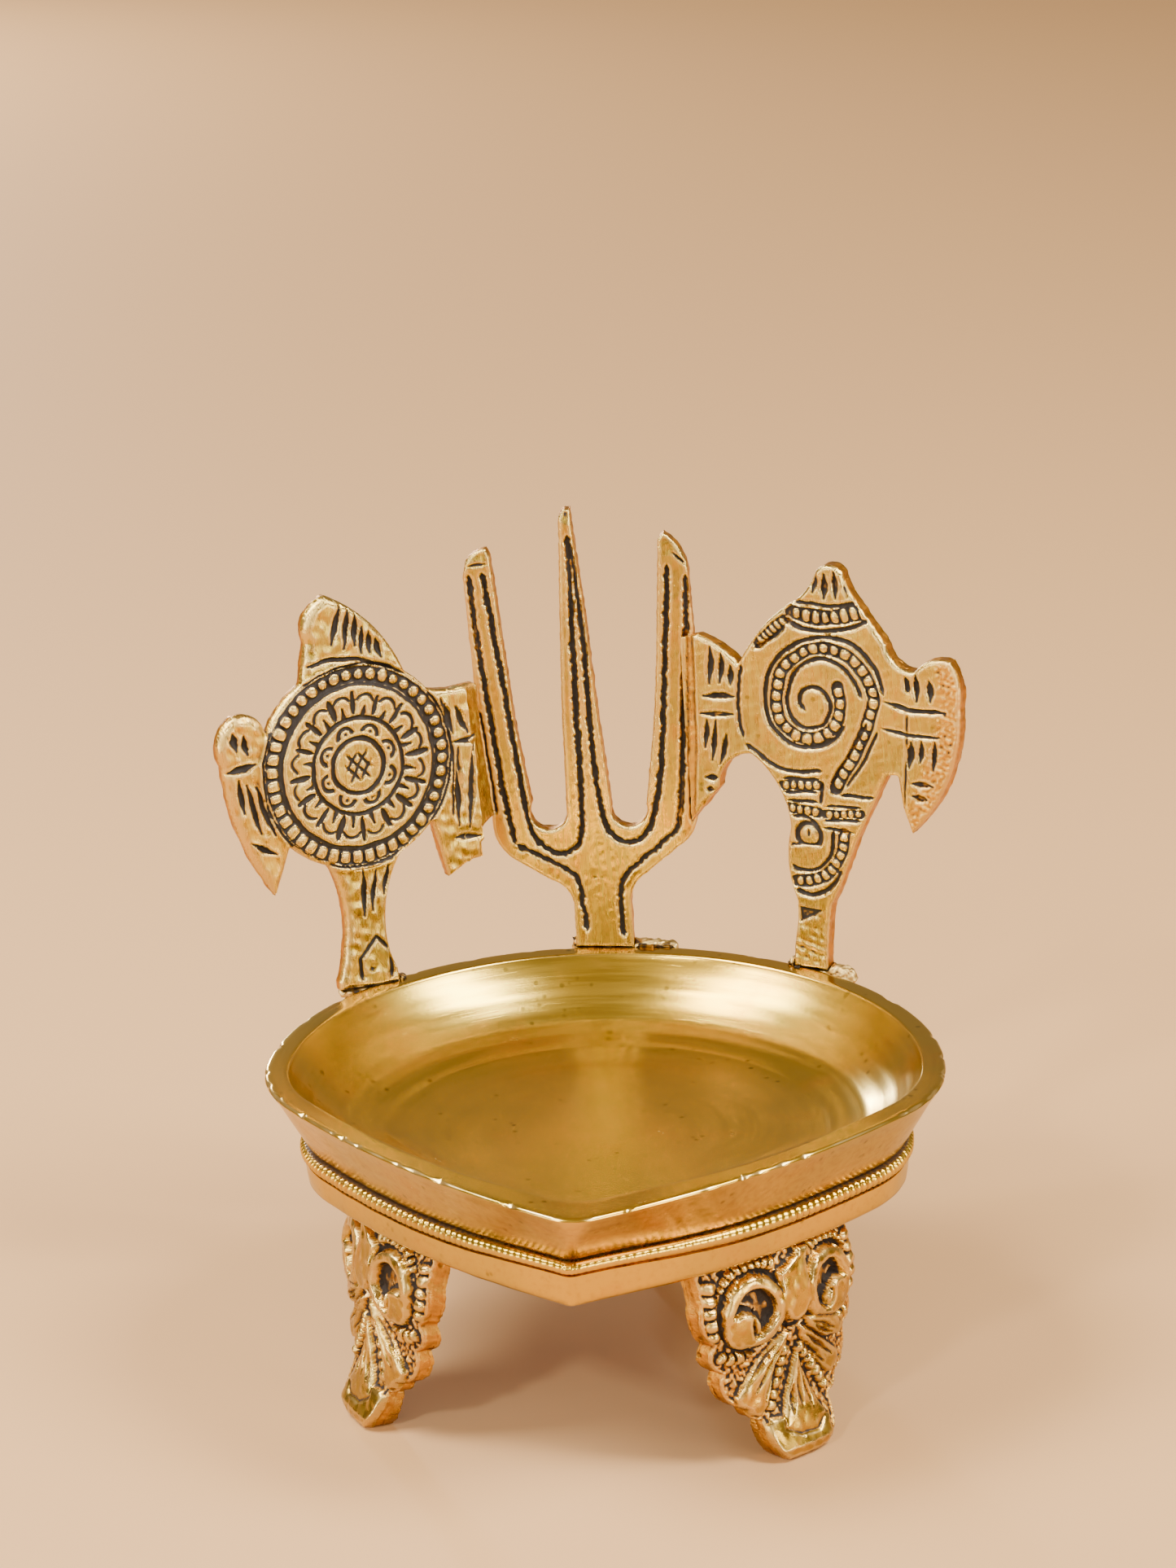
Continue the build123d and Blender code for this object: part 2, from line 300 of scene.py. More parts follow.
def makeBrass(name, finish):
    material = bpy.data.materials.new(name)
    material.use_nodes = True
    tree = material.node_tree
    shader = tree.nodes["Principled BSDF"]
    place = addNode(tree, "ShaderNodeTexCoord").outputs["Object"]
    attributes = {word: addNode(tree, "ShaderNodeAttribute", attribute_name=word)
                  for word in ("cavity", "wear", "rough", "brush")}

    def placed(group, **values):
        node = tree.nodes.new("ShaderNodeGroup")
        node.node_tree = group
        for word, value in values.items():
            socket = node.inputs[word.replace("_", " ")]
            if isinstance(value, bpy.types.NodeSocket):
                tree.links.new(value, socket)
            else:
                socket.default_value = value
        return node

    tone = placed(brassTone, Vector=place, Green=(*finish["green"], 1), Gold=(*finish["gold"], 1),
                  Stain=(*finish["stain"], 1), Drift_Size=finish["driftSize"],
                  Stain_Amount=finish["stainAmount"])
    age = placed(aging, Vector=place, Cavity=attributes["cavity"].outputs["Fac"],
                 Wear=attributes["wear"].outputs["Fac"])
    skin = placed(castSkin, Vector=place)
    stretch = addNode(tree, "ShaderNodeMapping")
    stretch.inputs["Scale"].default_value = finish["brushScale"]
    tree.links.new(attributes["brush"].outputs["Vector"], stretch.inputs["Vector"])
    marks = placed(brushing, Vector=stretch.outputs["Vector"])
    rough = attributes["rough"].outputs["Fac"]

    color = tone.outputs["Color"]
    # the last layer is the bright edge colour: partly real edge wear, partly a painted highlight
    for mask, amount, layer in ((marks.outputs["Streaks"], finish["streaks"], finish["gold"]),
                                (rough, 0.88, finish["stain"]),
                                (age.outputs["Rust"], 0.70, rustColor),
                                (skin.outputs["Pits"], 0.45, finish["patina"]),
                                (age.outputs["Patina"], 1.0, finish["patina"]),
                                (age.outputs["Rubbed"], finish["rubbed"], rubbedAndHighlightColor)):
        color = mixColor(tree, math2(tree, "MULTIPLY", mask, amount), color, (*layer, 1))
    tree.links.new(color, shader.inputs["Base Color"])
    tree.links.new(rangeMap(tree, age.outputs["Patina"], 0.0, 1.0, 1.0, 0.25), shader.inputs["Metallic"])

    shine = rangeMap(tree, marks.outputs["Streaks"], 0.0, 1.0, finish["roughness"],
                     finish["roughness"] + finish["roughSpread"])
    for mask, amount in ((rough, 0.16), (tone.outputs["Stain Mask"], 0.12), (age.outputs["Patina"], 0.35)):
        shine = math2(tree, "ADD", shine, math2(tree, "MULTIPLY", mask, amount))
    tree.links.new(shine, shader.inputs["Roughness"])

    grain = addNode(tree, "ShaderNodeBump", Strength=1.0, Distance=1.0)
    height = math2(tree, "MULTIPLY", skin.outputs["Height"], math2(
        tree, "MULTIPLY", math2(tree, "ADD", rough, 0.12), finish["grain"] * 2.2))
    height = math2(tree, "ADD", height, math2(tree, "MULTIPLY", marks.outputs["Height"], finish["brush"]))
    tree.links.new(height, grain.inputs["Height"])
    tree.links.new(grain.outputs["Normal"], shader.inputs["Normal"])
    return material


materials = {name: makeBrass(name + "Brass", finish) for name, finish in finishes.items()}
print("brass finishes made")


studio = {
    "eye": (69.2, -761.3, 365.2),       # mm from the lamp's centre
    "turn": 5.3, "down": 71.0, "roll": -1.5,
    "lens": 115.8, "sensor": 36.0,
    "floorColor": (0.60, 0.35, 0.15), "floorSize": 6.0,
    "worldColor": (1.0, 0.73, 0.43), "worldStrength": 0.42,
}


def makeStudio():
    camera = bpy.data.objects.new("camera", bpy.data.cameras.new("camera"))
    bpy.context.scene.collection.objects.link(camera)
    camera.data.lens = studio["lens"]
    camera.data.sensor_width = studio["sensor"]
    aim = (Matrix.Rotation(math.radians(studio["turn"]), 4, "Z")
           @ Matrix.Rotation(math.radians(studio["down"]), 4, "X")
           @ Matrix.Rotation(math.radians(studio["roll"]), 4, "Z"))
    camera.matrix_world = Matrix.Translation(centre + Vector(studio["eye"]) * mm) @ aim
    bpy.context.scene.camera = camera

    bpy.ops.object.select_all(action="DESELECT")
    bpy.ops.mesh.primitive_plane_add(size=studio["floorSize"], location=(0, 0, 0))
    floor = bpy.context.object
    floor.name = "floor"
    paper = bpy.data.materials.new("floorPaper")
    paper.use_nodes = True
    shader = paper.node_tree.nodes["Principled BSDF"]
    shader.inputs["Base Color"].default_value = (*studio["floorColor"], 1)
    shader.inputs["Roughness"].default_value = 0.75
    floor.data.materials.append(paper)

    world = bpy.data.worlds.new("studioWorld")
    bpy.context.scene.world = world
    world.use_nodes = True
    sky = world.node_tree.nodes["Background"]
    sky.inputs["Color"].default_value = (*studio["worldColor"], 1)
    sky.inputs["Strength"].default_value = studio["worldStrength"]


def addLight(name, place, size, power, color=(1.0, 0.95, 0.88), target=(0, 0, 60)):
    light = bpy.data.objects.new(name, bpy.data.lights.new(name, "AREA"))
    bpy.context.scene.collection.objects.link(light)
    light.data.shape = "RECTANGLE"
    light.data.size, light.data.size_y = size
    light.data.energy = power
    light.data.color = color
    light.location = centre + Vector(place) * mm
    toTarget = centre + Vector(target) * mm - light.location
    light.rotation_euler = toTarget.to_track_quat("-Z", "Y").to_euler()


makeStudio()
addLight("softLeft", (-560, -120, 900), (0.42, 0.55), 19.0)
addLight("softRight", (600, -120, 860), (0.26, 0.55), 15.0)
addLight("frontFill", (-150, -1300, 620), (0.9, 0.5), 3.8, (1.0, 0.94, 0.84))
addLight("glint", (-420, -820, 760), (0.10, 0.10), 5.0)
addLight("sideStrip", (-560, 1250, 330), (0.05, 0.34), 7.0)
addLight("rightCard", (880, -620, 230), (0.5, 0.34), 6.5, (1.0, 0.95, 0.86))
addLight("leftCard", (-860, -700, 200), (0.5, 0.34), 5.5, (1.0, 0.95, 0.86))
print("studio made")


# the dish: rings on the leaf outline, every arc keeping its centre while it moves inwards
dish = {
    "shoulder": 30.0, "shoulderTurn": 37.0, "side": 170.0,
    "backPoints": 290, "shoulderPoints": 64, "sidePoints": 220, "tipPoints": 11, "perNotch": 5,
    # height below the rim, inset, roundness of the spout, steps on the way there
    "basin": [(-10.9, 20.0, 15.0, 1), (-10.5, 18.6, 14.5, 3), (-9.9, 15.9, 13.5, 4), (-8.8, 12.9, 12.0, 4),
              (-7.4, 10.7, 11.0, 4), (-5.2, 8.0, 10.0, 4), (-2.6, 5.7, 9.0, 5), (-0.55, 4.15, 8.6, 4),
              (-0.12, 3.9, 8.5, 2), (0.0, 3.7, 8.5, 1)],
    "land": [(0.0, 2.4, 7.6, 2), (0.0, 0.62, 6.2, 3), (-0.08, 0.32, 6.1, 1), (-0.26, 0.10, 6.0, 1),
             (-0.48, 0.05, 6.0, 1), (-0.9, 0.34, 5.9, 1)],
    "wall": [(-3.0, 1.65, 5.2, 3), (-6.5, 3.6, 4.2, 4), (-10.5, 5.85, 3.2, 5), (-11.0, 6.15, 3.0, 1),
             (-11.25, 6.35, 3.0, 1), (-11.4, 6.75, 3.0, 1), (-11.6, 6.95, 3.0, 1)],
    "band": [(-14.35, 6.5, 2.6, 2), (-14.6, 6.0, 2.5, 1), (-16.6, 6.15, 2.3, 3), (-18.3, 6.4, 2.0, 3),
             (-18.8, 6.9, 2.0, 2)],
    "under": [(-18.8, 9.6, 6.0, 3), (-18.4, 10.1, 7.0, 1), (-15.2, 10.6, 8.0, 4), (-14.0, 12.0, 8.5, 2),
              (-13.8, 13.4, 9.0, 1), (-13.8, 20.0, 12.0, 3)],
    "bead": (-12.95, 6.45, 1.27), "beadSteps": 9, "centreRings": (0.8, 0.6, 0.4, 0.2, 0.0),
    "middle": (0.0, -2.0), "brushReach": 34.0, "closingReach": 32.0,
}


def leafRing(inset, tipRound, counts):
    mean = float(np.mean(inset))
    turn = math.radians(dish["shoulderTurn"])
    shoulder, side = dish["shoulder"], dish["side"]
    shoulderX = backRadius - shoulder
    sideX, sideY = shoulderX + (shoulder - side) * math.cos(turn), (side - shoulder) * math.sin(turn)
    tipY = sideY - math.sqrt((side - mean - tipRound) ** 2 - sideX ** 2)
    tangent = math.atan2(tipY - sideY, -sideX)
    arcs = [(0, 0, backRadius, 0, math.pi / 2, 0, counts[0]),
            (shoulderX, 0, shoulder, 0, 0, -turn, counts[1]),
            (sideX, sideY, side, 0, -turn, tangent, counts[2]),
            (0, tipY, 0, tipRound, tangent, -math.pi / 2, counts[3])]
    half, done = [], 0
    for x, y, radius, own, start, end, count in arcs:
        angle = start + (end - start) * np.arange(count) / count
        reach = (radius - inset[done:done + count]) if radius else own + mean - inset[done:done + count]
        half.append(np.stack([x + reach * np.cos(angle), y + reach * np.sin(angle)], 1))
        done += count
    return np.concatenate(half)


def dishProfile():
    zones = ("basin", "land", "wall", "band", "under")
    rows = [(z, inset, tip, zone) for zone in zones for z, inset, tip, _ in dish[zone]]
    steps = [step for zone in zones for *_, step in dish[zone]]
    rings = [rows[0]]
    for last, row, step in zip(rows[:-1], rows[1:], steps[1:]):
        if last[3] == "wall" and row[3] == "band":
            z, inset, radius = dish["bead"]
            for k in range(dish["beadSteps"]):
                angle = math.radians(100 - 200 * k / (dish["beadSteps"] - 1))
                rings.append((z + radius * math.sin(angle), inset - radius * math.cos(angle), 2.8, "bead"))
        for k in range(1, step + 1):
            share = k / step
            rings.append(tuple(a + (b - a) * share for a, b in zip(last[:3], row[:3])) + (row[3],))
    return rings


def buildDish():
    counts = [dish[name] for name in ("backPoints", "shoulderPoints", "sidePoints", "tipPoints")]
    half = sum(counts)
    rings = dishProfile()
    around = 2 * half
    wander = np.random.default_rng(5)
    # how near each place is to the spout, to the right front and to the left front
    guide = leafRing(np.zeros(half), 6.0, counts)
    guide = np.concatenate([guide, guide[::-1] * (-1, 1)])
    spout = np.exp(-((guide[:, 1] + 61) / 13.0) ** 2)
    frontSide = smoothStep(10, -50, guide[:, 1])
    rubbed = np.clip(frontSide * (0.25 + 0.55 * smoothStep(-36, 10, guide[:, 0])) + spout * 0.6, 0, 1)
    uneven = lumps(guide, 40.0, 3)
    notchSize = wander.uniform(0.55, 1.0, around // dish["perNotch"] + 1)[np.arange(around) // dish["perNotch"]]
    notchShape = np.array([1.0, 0.42, 0.0, 0.0, 0.42])[np.arange(around) % dish["perNotch"]]
    notch = notchSize * notchShape * (1 - np.clip(rubbed, 0, 0.85))
    nicks = np.zeros(around)
    for _ in range(46):
        spot, width = wander.integers(0, around), wander.uniform(1.5, 5)
        gap = np.abs((np.arange(around) - spot + half) % around - half)
        nicks = np.maximum(nicks, wander.uniform(0.08, 0.30) * np.exp(-(gap / width) ** 2))
    points, extras, along = [], [], 0.0
    last = None
    for z, inset, tip, zone in rings:
        shape = np.full(around, float(inset))
        height = np.full(around, float(z))
        if zone in ("basin", "land") and 0.4 < inset < 12:
            shape += (0.35 * frontSide + 0.12 * uneven) * smoothStep(0.4, 3.4, shape)
        if zone in ("land", "wall") and inset < 1.2:
            shape += nicks * np.exp(-((z + 0.1) / 0.5) ** 2)
            height -= nicks * 0.8 * (z > -0.5) * (inset < 0.6)
        if zone == "bead":
            out = np.clip((dish["bead"][1] - inset) / dish["bead"][2], 0, 1)
            shape += notch * 0.85 * out
        if zone in ("wall", "band", "bead"):
            shape += 0.05 * (1 + lumps(guide, 9.0, 7)) * smoothStep(-1, -3, height)
        ring = leafRing(shape[:half], tip, counts)
        other = leafRing(shape[half:][::-1], tip, counts)[::-1] * (-1, 1)
        ring = np.concatenate([ring, other])
        pull = np.interp(-z, [0, 3, 10.5, 30], [0, 0.1, 1, 1]) if zone not in ("basin", "land") else 0.0
        ring[:, 1] += 2.2 * spout * pull
        ring[:, 0] -= 1.4 * spout * pull
        if zone in ("basin", "land"):
            ring[:, 1] += 2.3 * spout ** 2 * np.interp(inset, [0.5, 4, 20], [0, 1, 0.4])
        lift = 0.0
        if zone not in ("basin", "land"):
            lift = np.interp(-z, [0, 11, 14.6, 18.8, 30], [0, 0.5, 1.1, 0, 0])
        height = height + spout * lift
        full = np.column_stack([ring, height])
        along += 0 if last is None else float(np.hypot(*(full[0] - last)[1:]))
        last = full[0]
        points.append(full)
        dark = np.zeros(around)
        if zone in ("wall", "band"):
            dark += 0.24 if zone == "wall" else 0.14
        if zone == "wall" and z < -10.6:
            dark += (z < -11.3) * (1 - 0.25 * rubbed) * (0.85 + 0.3 * lumps(guide, 1.6, 14))
        if zone == "bead":
            above = z - dish["bead"][0]
            dark += notch * 0.9 + (above > 1.1) * (0.85 - 0.3 * rubbed)
            dark += (above < -1.1) * (0.6 - 0.25 * rubbed)
        if zone == "band" and z > -14.5:
            dark += 0.55 - 0.25 * rubbed
        if zone == "under":
            dark += np.interp(inset, [9.5, 10.2], [0.2, 0.62])
        if zone == "basin":
            # a small dark casting mark inside the spout
            sideways, ahead = ring[:, 0] + 2.6, ring[:, 1] + 49.8
            lengthwise = (0.9 * sideways - 0.43 * ahead) / 1.5
            crosswise = (0.43 * sideways + 0.9 * ahead) / 0.5
            dark += np.exp(-lengthwise ** 2 - crosswise ** 2)
        # painted highlight: a bright line along the outer top edge of the rim, stronger at the nicks, and a
        # thin bright line at the inner edge of the land
        edge = np.exp(-((z + 0.18) / 0.22) ** 2) * (inset < 0.6)
        edge = edge * (0.38 + 0.4 * lumps(guide, 7.0, 9) + nicks * 2.5)
        edge = edge + 0.32 * (abs(inset - 3.9) < 0.05)
        asCast = np.interp(inset, [9.0, 10.0], [0.25, 1.0]) if zone == "under" else 0.0
        coarse = np.full(around, float(asCast))
        extras.append(np.column_stack([dark, np.clip(edge, 0, 1), coarse, np.full(around, along)]))

    # close the basin floor and the roof of the hollow towards the middle
    middle = np.array(dish["middle"])
    for first in (True, False):
        ring, extra = (points[0], extras[0]) if first else (points[-1], extras[-1])
        for share in dish["centreRings"]:
            inner = ring.copy()
            inner[:, :2] = middle + (ring[:, :2] - middle) * share
            inner[:, 2] -= (0.35 if first else 0.0) * (1 - share ** 2)
            more = extra.copy()
            more[:, 3] += (-1 if first else 1) * (1 - share) * dish["closingReach"]
            if first:
                points.insert(0, inner)
                extras.insert(0, more)
            else:
                points.append(inner)
                extras.append(more)
    grid = np.stack(points)
    grid = np.concatenate([grid, grid[:, :1]], 1)
    values = np.stack(extras)
    values = np.concatenate([values, values[:, :1]], 1)
    rows, columns = grid.shape[:2]
    bpy.ops.object.select_all(action="DESELECT")
    bpy.ops.mesh.primitive_grid_add(x_subdivisions=columns - 1, y_subdivisions=rows - 1, size=1)
    piece = bpy.context.object
    piece.name = "dishShell"
    flat = grid.reshape(-1, 3)
    writePoints(piece.data, flat)
    cavity, wear, coarse, along = values.reshape(-1, 4).T
    storeValues(piece.data, "cavity", cavity)
    storeValues(piece.data, "wear", wear)
    storeValues(piece.data, "rough", coarse)
    storeValues(piece.data, "brush", np.column_stack([flat[:, :2] / dish["brushReach"], along]))
    finished = flat * mm + np.array([centre.x, centre.y, rimZ * mm])
    writePoints(piece.data, finished)
    onlySelect(piece)
    bpy.ops.object.mode_set(mode="EDIT")
    bpy.ops.mesh.select_all(action="SELECT")
    bpy.ops.mesh.remove_doubles(threshold=1e-6)
    bpy.ops.mesh.normals_make_consistent(inside=False)
    bpy.ops.object.mode_set(mode="OBJECT")
    finishPiece(piece, materials["polished"], "dish", angle=38)
    print("dish made", len(piece.data.vertices), len(piece.data.polygons))


buildDish()


def toLine(at, line):
    best = np.full(len(at), 1e9)
    along = np.zeros(len(at))
    done = 0.0
    for a, b in zip(line[:-1], line[1:]):
        step = b - a
        length = max(float(np.hypot(*step)), 1e-9)
        share = np.clip(((at - a) @ step) / length ** 2, 0, 1)
        gap = np.hypot(*(at - a - share[:, None] * step).T)
        closer = gap < best
        best[closer] = gap[closer]
        along[closer] = (done + share * length)[closer]
        done += length
    return best, along, done


# a smooth line through a few points
def curve(points, steps=6):
    p = np.array(points, float)
    p = np.concatenate([[2 * p[0] - p[1]], p, [2 * p[-1] - p[-2]]])
    line = []
    for a, b, c, d in zip(p[:-3], p[1:-2], p[2:-1], p[3:]):
        for t in np.arange(steps) / steps:
            line.append(0.5 * (2 * b + (c - a) * t + (2 * a - 5 * b + 4 * c - d) * t * t
                               + (3 * b - a - 3 * c + d) * t ** 3))
    return np.array(line + [p[-2]])


# distance into a closed outline, negative outside it
def within(at, outline):
    outline = np.array(outline, float)
    closed = np.concatenate([outline, outline[:1]])
    inside = np.zeros(len(at), bool)
    for (x1, y1), (x2, y2) in zip(closed[:-1], closed[1:]):
        if y1 != y2:
            inside ^= ((y1 > at[:, 1]) != (y2 > at[:, 1])) & (
                at[:, 0] < (x2 - x1) * (at[:, 1] - y1) / (y2 - y1) + x1)
    gap = toLine(at, closed)[0]
    return np.where(inside, gap, -gap)


# a relief drawn in mm on a flat face: ground let down, parts left standing, lines cut in
class Relief:
    def __init__(self, u, v, depth, seed):
        where = np.stack([u, v], 1)
        self.u = u + 0.11 * lumps(where, 5.0, seed)
        self.v = v + 0.11 * lumps(where, 5.0, seed + 1)
        self.at = np.stack([self.u, self.v], 1)
        self.face = depth < 2.2
        self.sunk = np.zeros(len(u))
        self.cut = np.zeros(len(u))
        self.coarse = np.zeros(len(u))
        self.ground = np.zeros(len(u))     # lowering that stays bright
        self.chance = np.random.default_rng(seed)

    def carve(self, mask, depth):
        self.cut = np.maximum(self.cut, mask * depth)

    def near(self, line, reach):
        low, high = line.min(0) - reach, line.max(0) + reach
        return np.where(self.face & (self.at > low).all(1) & (self.at < high).all(1))[0]

    def groove(self, points, width=0.8, depth=0.42, smooth=True, fade=1.0, ragged=0.12):
        line = curve(points) if smooth and len(points) > 2 else np.array(points, float)
        spots = self.near(line, width)
        gap, along, total = toLine(self.at[spots], line)
        ends = smoothStep(0, fade, np.minimum(along, total - along) + 0.15)
        half = width / 2 * 1.25 * (0.25 + 0.75 * ends) * (1 + ragged * lumps(self.at[spots], 1.6, 4))
        shape = (1 - smoothStep(0.18, 1.0, gap / half)) * (0.35 + 0.65 * ends)
        self.cut[spots] = np.maximum(self.cut[spots], depth * shape)

    def cuts(self, lines, width=0.85, depth=0.48):
        for line in lines:
            length = math.dist(line[0], line[-1])
            self.groove(line, width * self.chance.uniform(0.8, 1.15), depth * self.chance.uniform(0.8, 1.1),
                        fade=length * 0.45)

    def lower(self, mask, depth):
        self.sunk = np.maximum(self.sunk, mask * depth)

    def level(self, mask, depth):
        self.sunk = self.sunk * (1 - mask) + depth * mask

    # a part left standing inside an outline; pillow rounds it down towards its edge
    def shape(self, outline, depth, soft=0.5, pillow=0.0, reach=2.5):
        into = within(self.at, outline)
        fall = 1 - np.sqrt(1 - (1 - np.clip(into / reach, 0, 1)) ** 2)
        self.level(smoothStep(0, soft, into), depth + pillow * fall)

    # a sunken strip along a line with a row of beads standing in it
    def beads(self, points, size=1.8, pitch=1.9, floor=0.6, proud=0.58, long=1.0, square=2.4):
        line = curve(points)
        spots = self.near(line, size)
        gap, along, total = toLine(self.at[spots], line)
        count = max(1, int(round(total / pitch)))
        pitch = total / count
        strip = 1 - smoothStep(size * 0.42, size * 0.62, gap)
        self.sunk[spots] = np.maximum(self.sunk[spots], strip * floor)
        order = np.clip((along / pitch).astype(int), 0, count - 1)
        jitter = self.chance.uniform(0.82, 1.06, count)[order]
        away = ((np.abs(along - (order + 0.5) * pitch) / (pitch * 0.50 * jitter)) ** square
                + (gap / (size * 0.52 * long * jitter)) ** square)
        dome = np.sqrt(np.clip(1 - away, 0, 1))
        raised = np.minimum(self.sunk[spots], floor - proud * dome)
        self.sunk[spots] = np.where(away < 1, raised, self.sunk[spots])


# a place seen from a direction turned by angle: how far across it, and how far out along it
def turned(u, v, angle):
    return v * math.cos(angle) - u * math.sin(angle), u * math.cos(angle) + v * math.sin(angle)


def takeNode(node, name, toFlat, voxel):
    piece = bpy.data.objects.new(name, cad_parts[node].data.copy())
    bpy.context.scene.collection.objects.link(piece)
    for attribute in [a.name for a in piece.data.attributes if not a.is_required and not a.is_internal]:
        piece.data.attributes.remove(piece.data.attributes[attribute])
    piece.data.transform(toFlat)
    onlySelect(piece)
    bpy.ops.object.mode_set(mode="EDIT")
    bpy.ops.mesh.select_all(action="SELECT")
    bpy.ops.mesh.remove_doubles(threshold=1e-6)
    bpy.ops.object.mode_set(mode="OBJECT")
    applyModifier(piece, "REMESH", mode="VOXEL", voxel_size=voxel * mm)
    return piece


# take a cast plate from the frame, carve its front in relief and give it its finish
def carvePlate(node, name, plate, thickness, flatten, draw, material, seed=1, edge=0.7, voxel=0.2,
               keep=0.70, darkFrom=0.08, darkTo=0.40, jointBelow=None, coarseSides=1.0, lip=0.1):
    piece = takeNode(node, name, plate.inverted(), voxel)
    mesh = piece.data
    depth = flatten(readPoints(mesh) / mm)[2]
    group = piece.vertex_groups.new(name="back")
    behind = np.where(depth > thickness * 0.85)[0]
    group.add(behind.tolist(), 1.0, "REPLACE")
    applyModifier(piece, "DECIMATE", ratio=1 - keep * len(behind) / len(depth), vertex_group="back")
    mesh = piece.data
    piece.vertex_groups.clear()
    points = readPoints(mesh) / mm
    u, v, depth, inward = flatten(points)
    relief = Relief(u, v, depth, seed)
    draw(relief)
    walls = np.where((depth > thickness * 0.3) & (depth < thickness * 0.7))[0]
    tree = KDTree(len(walls))
    for order, spot in enumerate(walls):
        tree.insert((u[spot], v[spot], 0), order)
    tree.balance()
    border = np.zeros(len(u))
    for spot in np.where(relief.face)[0]:
        border[spot] = tree.find((u[spot], v[spot], 0))[2]
    border[depth > 0.9] = 0
    radius = edge(relief) if callable(edge) else np.full(len(u), edge)
    drop = radius * (1 - np.sqrt(1 - (1 - np.clip((border - 0.1) / radius, 0, 1)) ** 2))
    share = np.clip(1 - depth / thickness, 0, 1)
    inside = smoothStep(0.0, 0.7, border)
    carved = (relief.sunk + relief.cut) * inside + lip * (1 - inside)
    points += inward * ((carved + drop) * share)[:, None]
    points += inward * (0.18 * (1 + lumps(points, 5.0, seed + 5)) * (depth > thickness * 0.75) * -1)[:, None]
    normals = readPoints(mesh, "normal")
    sides = smoothStep(0.35, 1.0, depth)
    points -= normals * ((0.05 + 0.14 * sides) * 0.5 * (1 + lumps(points, 2.2, seed + 6)))[:, None]
    writePoints(mesh, points * mm)
    cavity = smoothStep(darkFrom, darkTo, carved - relief.ground) * smoothStep(0.0, 0.6, share)
    cavity = np.maximum(cavity * (1 - sides), sides * (0.26 + 0.16 * lumps(points, 3.0, seed + 8)))
    # painted shadow: the bottom of the plate, where it meets the rim, is darkened to full patina
    if jointBelow is not None:
        cavity = np.maximum(cavity, 1 - smoothStep(jointBelow * 0.3, jointBelow, v))
    cavity = np.maximum(cavity, 1.15 * spread(mesh, cavity, 7) * (cavity < 0.5))
    # the unseen back is left as cast: duller and browner than the filed side walls
    behind = smoothStep(0.75, 0.95, depth / thickness)
    cavity = np.maximum(cavity, behind * (0.42 + 0.22 * lumps(points, 4.0, seed + 9)))
    storeValues(mesh, "cavity", cavity)
    rough = np.maximum(sides * coarseSides, relief.coarse) * (1 - 0.55 * behind)
    storeValues(mesh, "rough", np.clip(rough, 0, 1))
    storeValues(mesh, "brush", np.column_stack([u, v, depth]))
    storeWearAndHighlight(piece, 0.045, hold=1 - 0.75 * sides)
    mesh.transform(plate)
    # the toes are filed level with the surface they stand on
    standing = readPoints(mesh)
    standing[:, 2] = np.maximum(standing[:, 2], 0.01 * mm)
    writePoints(mesh, standing)
    finishPiece(piece, materials[material], node, angle=70)
    print(name, "made", len(mesh.vertices), len(mesh.polygons))


def plateFrame(post, yaw, back, lean=3.1):
    return (Matrix.Translation(centre) @ Matrix.Translation(Vector((post[0], post[1], rimZ)) * mm)
            @ Matrix.Rotation(math.radians(yaw), 4, "Z") @ Matrix.Rotation(math.radians(-back), 4, "X")
            @ Matrix.Rotation(math.radians(-lean), 4, "Y"))


def flatPlate(points):
    inward = np.zeros_like(points)
    inward[:, 1] = 1
    return points[:, 0], points[:, 2], points[:, 1], inward


wheel = {
    "hub": (2.2, 38.9), "bend": (20.6, 30.0), "spokes": 16, "beadCount": 44,
    "flames": [[(2.6, 66.8), (0.2, 60.5)], [(4, 66), (2.3, 59.3)], [(5.1, 64.8), (4.4, 59.5)],
               [(6, 62.6), (5.4, 57.9)], [(7.1, 61.5), (7, 57.6)], [(8.2, 60.1), (8.9, 56.5)],
               [(-19.7, 49.6), (-19.3, 46.3)],
               [(-17.8, 48.7), (-17.5, 45.3)], [(-21.6, 42.9), (-16.2, 43.3)], [(-19.7, 41.4), (-19.5, 35.4)],
               [(-18.3, 40.3), (-16.9, 31.2)], [(-16.7, 39.5), (-14.4, 30.6)], [(-19, 30.1), (-14.6, 27.2)],
               [(19.5, 45.9), (20.3, 40.4)], [(21.3, 45), (22.9, 39.9)], [(23.6, 45.6), (24.4, 40.6)],
               [(20.1, 38.9), (26.8, 38.3)], [(21, 37.7), (19.4, 24.1)], [(23.5, 37.4), (21.4, 23.4)],
               [(26, 37.2), (23.4, 23)], [(18.4, 22.3), (23, 21.4)], [(0.7, 20.6), (-0.1, 12.6)],
               [(3, 20.3), (1.3, 13.2)], [(5.4, 20.5), (3.9, 15.8)]],
}


def flattenWheel(points):
    u, v, depth, inward = flatPlate(points)
    hinge, bend = wheel["bend"]
    turn = math.radians(bend)
    along = (points[:, 0] - hinge) * math.cos(turn) + points[:, 1] * math.sin(turn)
    out = -(points[:, 0] - hinge) * math.sin(turn) + points[:, 1] * math.cos(turn)
    bent = (points[:, 0] - hinge) + points[:, 1] * math.tan(turn / 2) > 0
    inward = np.where(bent[:, None], np.array([-math.sin(turn), math.cos(turn), 0]), inward)
    return np.where(bent, hinge + along, u), v, np.where(bent, out, depth), inward


